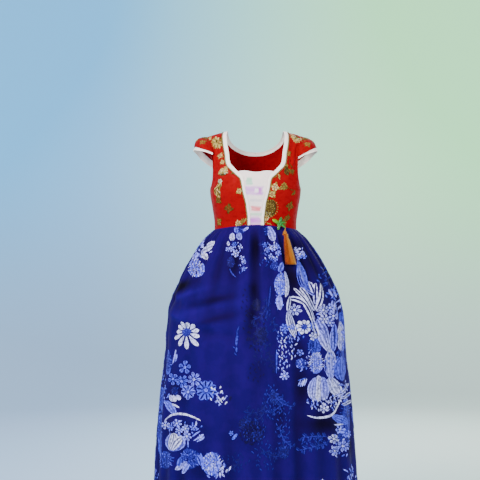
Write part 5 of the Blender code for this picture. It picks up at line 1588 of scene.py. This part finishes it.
def tubes(lines, radius, sides):
    """Tubes round many lines: rings of the given sides at right angles to each line, closed at both ends.
    The lines are an array of lines, steps and places; the radius has a value for each step."""
    count, steps = lines.shape[:2]
    along = unit(np.gradient(lines, axis=1))
    first = unit(np.cross(along, [0, 1, 0]))[:, :, None]
    second = np.cross(along[:, :, None], first)
    turn = np.linspace(0, 2 * np.pi, sides, endpoint=False)[:, None]
    ring = first * np.cos(turn) + second * np.sin(turn)
    points = (lines[:, :, None] + ring * np.reshape(radius, (1, -1, 1, 1))).reshape(-1, 3)
    index = np.arange(count * steps * sides).reshape(count, steps, sides)
    after = np.roll(index, -1, axis=2)
    walls = np.stack([index[:, :-1], index[:, 1:], after[:, 1:], after[:, :-1]], axis=-1).reshape(-1, 4)
    caps = []
    for k in range(1, sides // 2):
        corners = [0, 2 * k - 1, 2 * k, (2 * k + 1) % sides]
        caps += [index[:, 0][:, corners], index[:, -1][:, corners[::-1]]]
    faces = np.concatenate([walls] + caps)
    middle = np.repeat(lines[:, :-1], sides, axis=1).reshape(-1, 3)
    return points, faces if looks_out(points, walls, middle) else faces[:, ::-1]


def strands(h, middle, wide, deep):
    """Points, faces and colours of the strands: set out like seeds in an oval that widens downwards, each
    swaying a little by itself and ending where it likes."""
    draw = np.random.default_rng(7)
    k = np.arange(STRANDS)
    reach, angle = np.sqrt((k + 0.5) / STRANDS), GOLDEN * k
    u, v = reach * np.cos(angle), reach * np.sin(angle)
    sway = 0.0011 * np.sin(h * draw.uniform(2, 7, (STRANDS, 1)) + draw.uniform(0, 6.3, (STRANDS, 1)))
    ends = 1 - draw.uniform(0, 0.035, (STRANDS, 1))
    root = TASSEL_HEAD / TASSEL_LONG
    down = root + h * ends * (1 - root)
    waist = 1 - 0.22 * np.exp(-((h - 0.125) / 0.03) ** 2)
    x = (TASSEL_TOP[0] + (TASSEL_BOTTOM[0] - TASSEL_TOP[0]) * down + u[:, None] * (wide * waist)
         + sway * h * 1.4)
    y = np.interp(down, h, middle) + v[:, None] * (deep * waist) * 0.94
    radius = np.interp(h, [0, 0.9, 1], [0.00042, 0.0004, 0.00016])
    points, faces = tubes(points_at(x, y, TASSEL_TOP[1] - TASSEL_LONG * down), radius, STRAND_SIDES)
    # painted light: each strand's colour goes by where it stands across the tassel, from left to right
    across = np.clip(u * 0.5 + 0.5 + draw.normal(0, 0.07, STRANDS), 0, 1)
    dye = tone_colours(across, STRAND_AMBER_AND_PAINTED_LIGHT) * draw.uniform(0.8, 1.12, STRANDS)[:, None]
    return points, faces, np.repeat(dye, STRAND_STEPS * STRAND_SIDES, axis=0)


def wound_head(y):
    """Points, faces and colours of the head: a dome over the roots, wound with thread."""
    reach, angle = disc(33)
    dome = 1 - reach ** 2.6
    wide, deep = (size * 1.06 * reach * (1 + 0.045 * np.cos(dome * 40)) for size in HEAD_SIZE)
    x, y = TASSEL_TOP[0] + wide * np.cos(angle), y + deep * np.sin(angle)
    points, faces = close_between(*(points_at(x, y, TASSEL_TOP[1] - TASSEL_HEAD * low)
                                    for low in (1.25 * (1 - dome ** 0.8), 1.32)))
    faces = faces if looks_out(points, faces, points.mean(axis=0)) else faces[:, ::-1]
    # painted shade: the grooves between the windings take the darker amber
    dye = np.where(np.cos(dome * 40)[..., None] > 0, AMBER, AMBER_IN_GROOVE_SHADE).reshape(-1, 3)
    return points, faces, np.tile(dye, (2, 1))


def twisted_cord(y):
    """Points, faces and colours of the cord: two plies turned round each other from the head to the tip of
    a leaf."""
    t = np.linspace(0, 1, CORD_STEPS)
    line = (np.array([TASSEL_TOP[0], y, TASSEL_TOP[1] - 0.0012]) * (1 - t[:, None])
            + np.array(TASSEL_NECK) * t[:, None])
    plies = [line + CORD_PLY * points_at(np.cos(t * 14 + turn), np.sin(t * 14 + turn), 0)
             for turn in (0, np.pi)]
    points, faces = tubes(np.stack(plies), np.full(CORD_STEPS, CORD_PLY), 8)
    return points, faces, np.tile(AMBER, (len(points), 1))


def tassel():
    """Silk strands that hang from a wound head on a short twisted cord, lying just off the skirt."""
    h = np.linspace(0, 1, STRAND_STEPS)
    spread = np.clip((h - 0.08) / 0.92, 0, 1) ** 0.8
    wide, deep = (head + (end - head) * spread for head, end in zip(HEAD_SIZE, END_SIZE))
    cloth = skirt_front_y(TASSEL_TOP[0] + (TASSEL_BOTTOM[0] - TASSEL_TOP[0]) * h,
                          TASSEL_TOP[1] - TASSEL_LONG * h)
    middle = np.minimum.accumulate(cloth - deep + 0.0006)
    parts = [strands(h, middle, wide, deep), wound_head(middle[0]), twisted_cord(middle[0])]
    starts = np.cumsum([0] + [len(part[0]) for part in parts])
    points, dye = (np.concatenate([part[i] for part in parts]) for i in (0, 2))
    faces = np.concatenate([part[1] + start for part, start in zip(parts, starts)])
    return add_piece("tassel", points, faces, amber_silk(), "amber_silk", ("norigae_tassel",), dye=dye)


jade_ornament()
tassel()

# ---------------- floor, backdrop and light
FLOOR, FLAT, BEND, TALL = -1.3545, 4.2, 2.4, 8  # height, the floor's radius, the wall's bend and top


def paper_finish(name, glow):
    """Paper that goes from blue on the left to green on the right, paler near the middle; on the wall it
    gives off a little light of its own, more of it higher up, as a lit studio wall does."""
    paper = Finish(name, Roughness=0.9, Specular_IOR_Level=0.1, Emission_Strength=glow)
    place = paper.object_place()
    x, z = paper.part(place, 0), paper.part(place, 2)
    high, side, out = z.step(-1.35, 0.8), x.step(-1.5, 1.5), abs(x).step(0.2, 2.4) + z.step(0.2, 2.2) * 0.6
    paper.into("Base Color", paper.mix(high, paper.mix(side, srgb(176, 210, 246), srgb(228, 252, 240)),
                                       paper.mix(side, srgb(124, 196, 244), srgb(200, 252, 200))))
    if glow:
        lit = paper.mix(out, paper.mix(side, srgb(150, 172, 190), srgb(176, 214, 188)),
                        paper.mix(side, srgb(40, 128, 184), srgb(90, 204, 116)))
        paper.into("Emission Color", paper.shade(lit, high))
    return paper.material


def studio_bowl():
    """A pale round floor, and round it a wall that curves up from it: a quarter of a circle, then straight
    up, turned about the upright axis.  The wall is only seen; light passes through it."""
    turn, round_at = np.linspace(0, math.pi / 2, 25), np.linspace(0, 2 * math.pi, 97)
    reach, angle = disc(33)
    out = np.append(FLAT + BEND * np.sin(turn), FLAT + BEND)[:, None]
    up = np.append(BEND * (1 - np.cos(turn)), TALL)[:, None]
    for name, glow, far, at, high in (("floor", 0, FLAT * reach, angle, 0),
                                      ("wall", 1, out, round_at, up)):
        points, faces = weld([points_at(far * np.cos(at), far * np.sin(at), high + FLOOR)])
        faces = faces[:, ::-1] if looks_out(points, faces, [0, 0, 2]) else faces
        stand = add_object(name, points, faces, paper_finish(name + "_paper", glow))
        if name == "wall":
            stand.visible_diffuse = stand.visible_glossy = stand.visible_shadow = False


def soft_light(name, place, target, size, watts, tint):
    """A square soft light that faces a place."""
    data = bpy.data.lights.new(name, "AREA")
    data.shape, data.size, data.energy, data.color = "SQUARE", size, watts, tint
    light = bpy.data.objects.new(name, data)
    x, y, z = aim = np.array(target) - np.array(place)
    light.location = place
    light.rotation_euler = math.acos(-z / np.linalg.norm(aim)), 0, math.atan2(y, x) - math.pi / 2
    bpy.context.scene.collection.objects.link(light)


studio_bowl()
soft_light("key", (-2, -2.6, 1.5), (0, 0, -0.4), 1.6, 230, (1, 0.98, 0.96))
soft_light("fill", (2.4, -2.6, 0.5), (0, 0, -0.7), 2.2, 90, (0.97, 0.99, 1))
soft_light("behind", (0.9, 3, 1.3), (0, 0, -0.6), 2.2, 75, (1, 1, 1))
world = bpy.data.worlds.new("studio")
world.use_nodes = True
sky = world.node_tree.nodes["Background"].inputs
sky["Color"].default_value, sky["Strength"].default_value = (0.86, 0.92, 1, 1), 0.85
bpy.context.scene.world = world
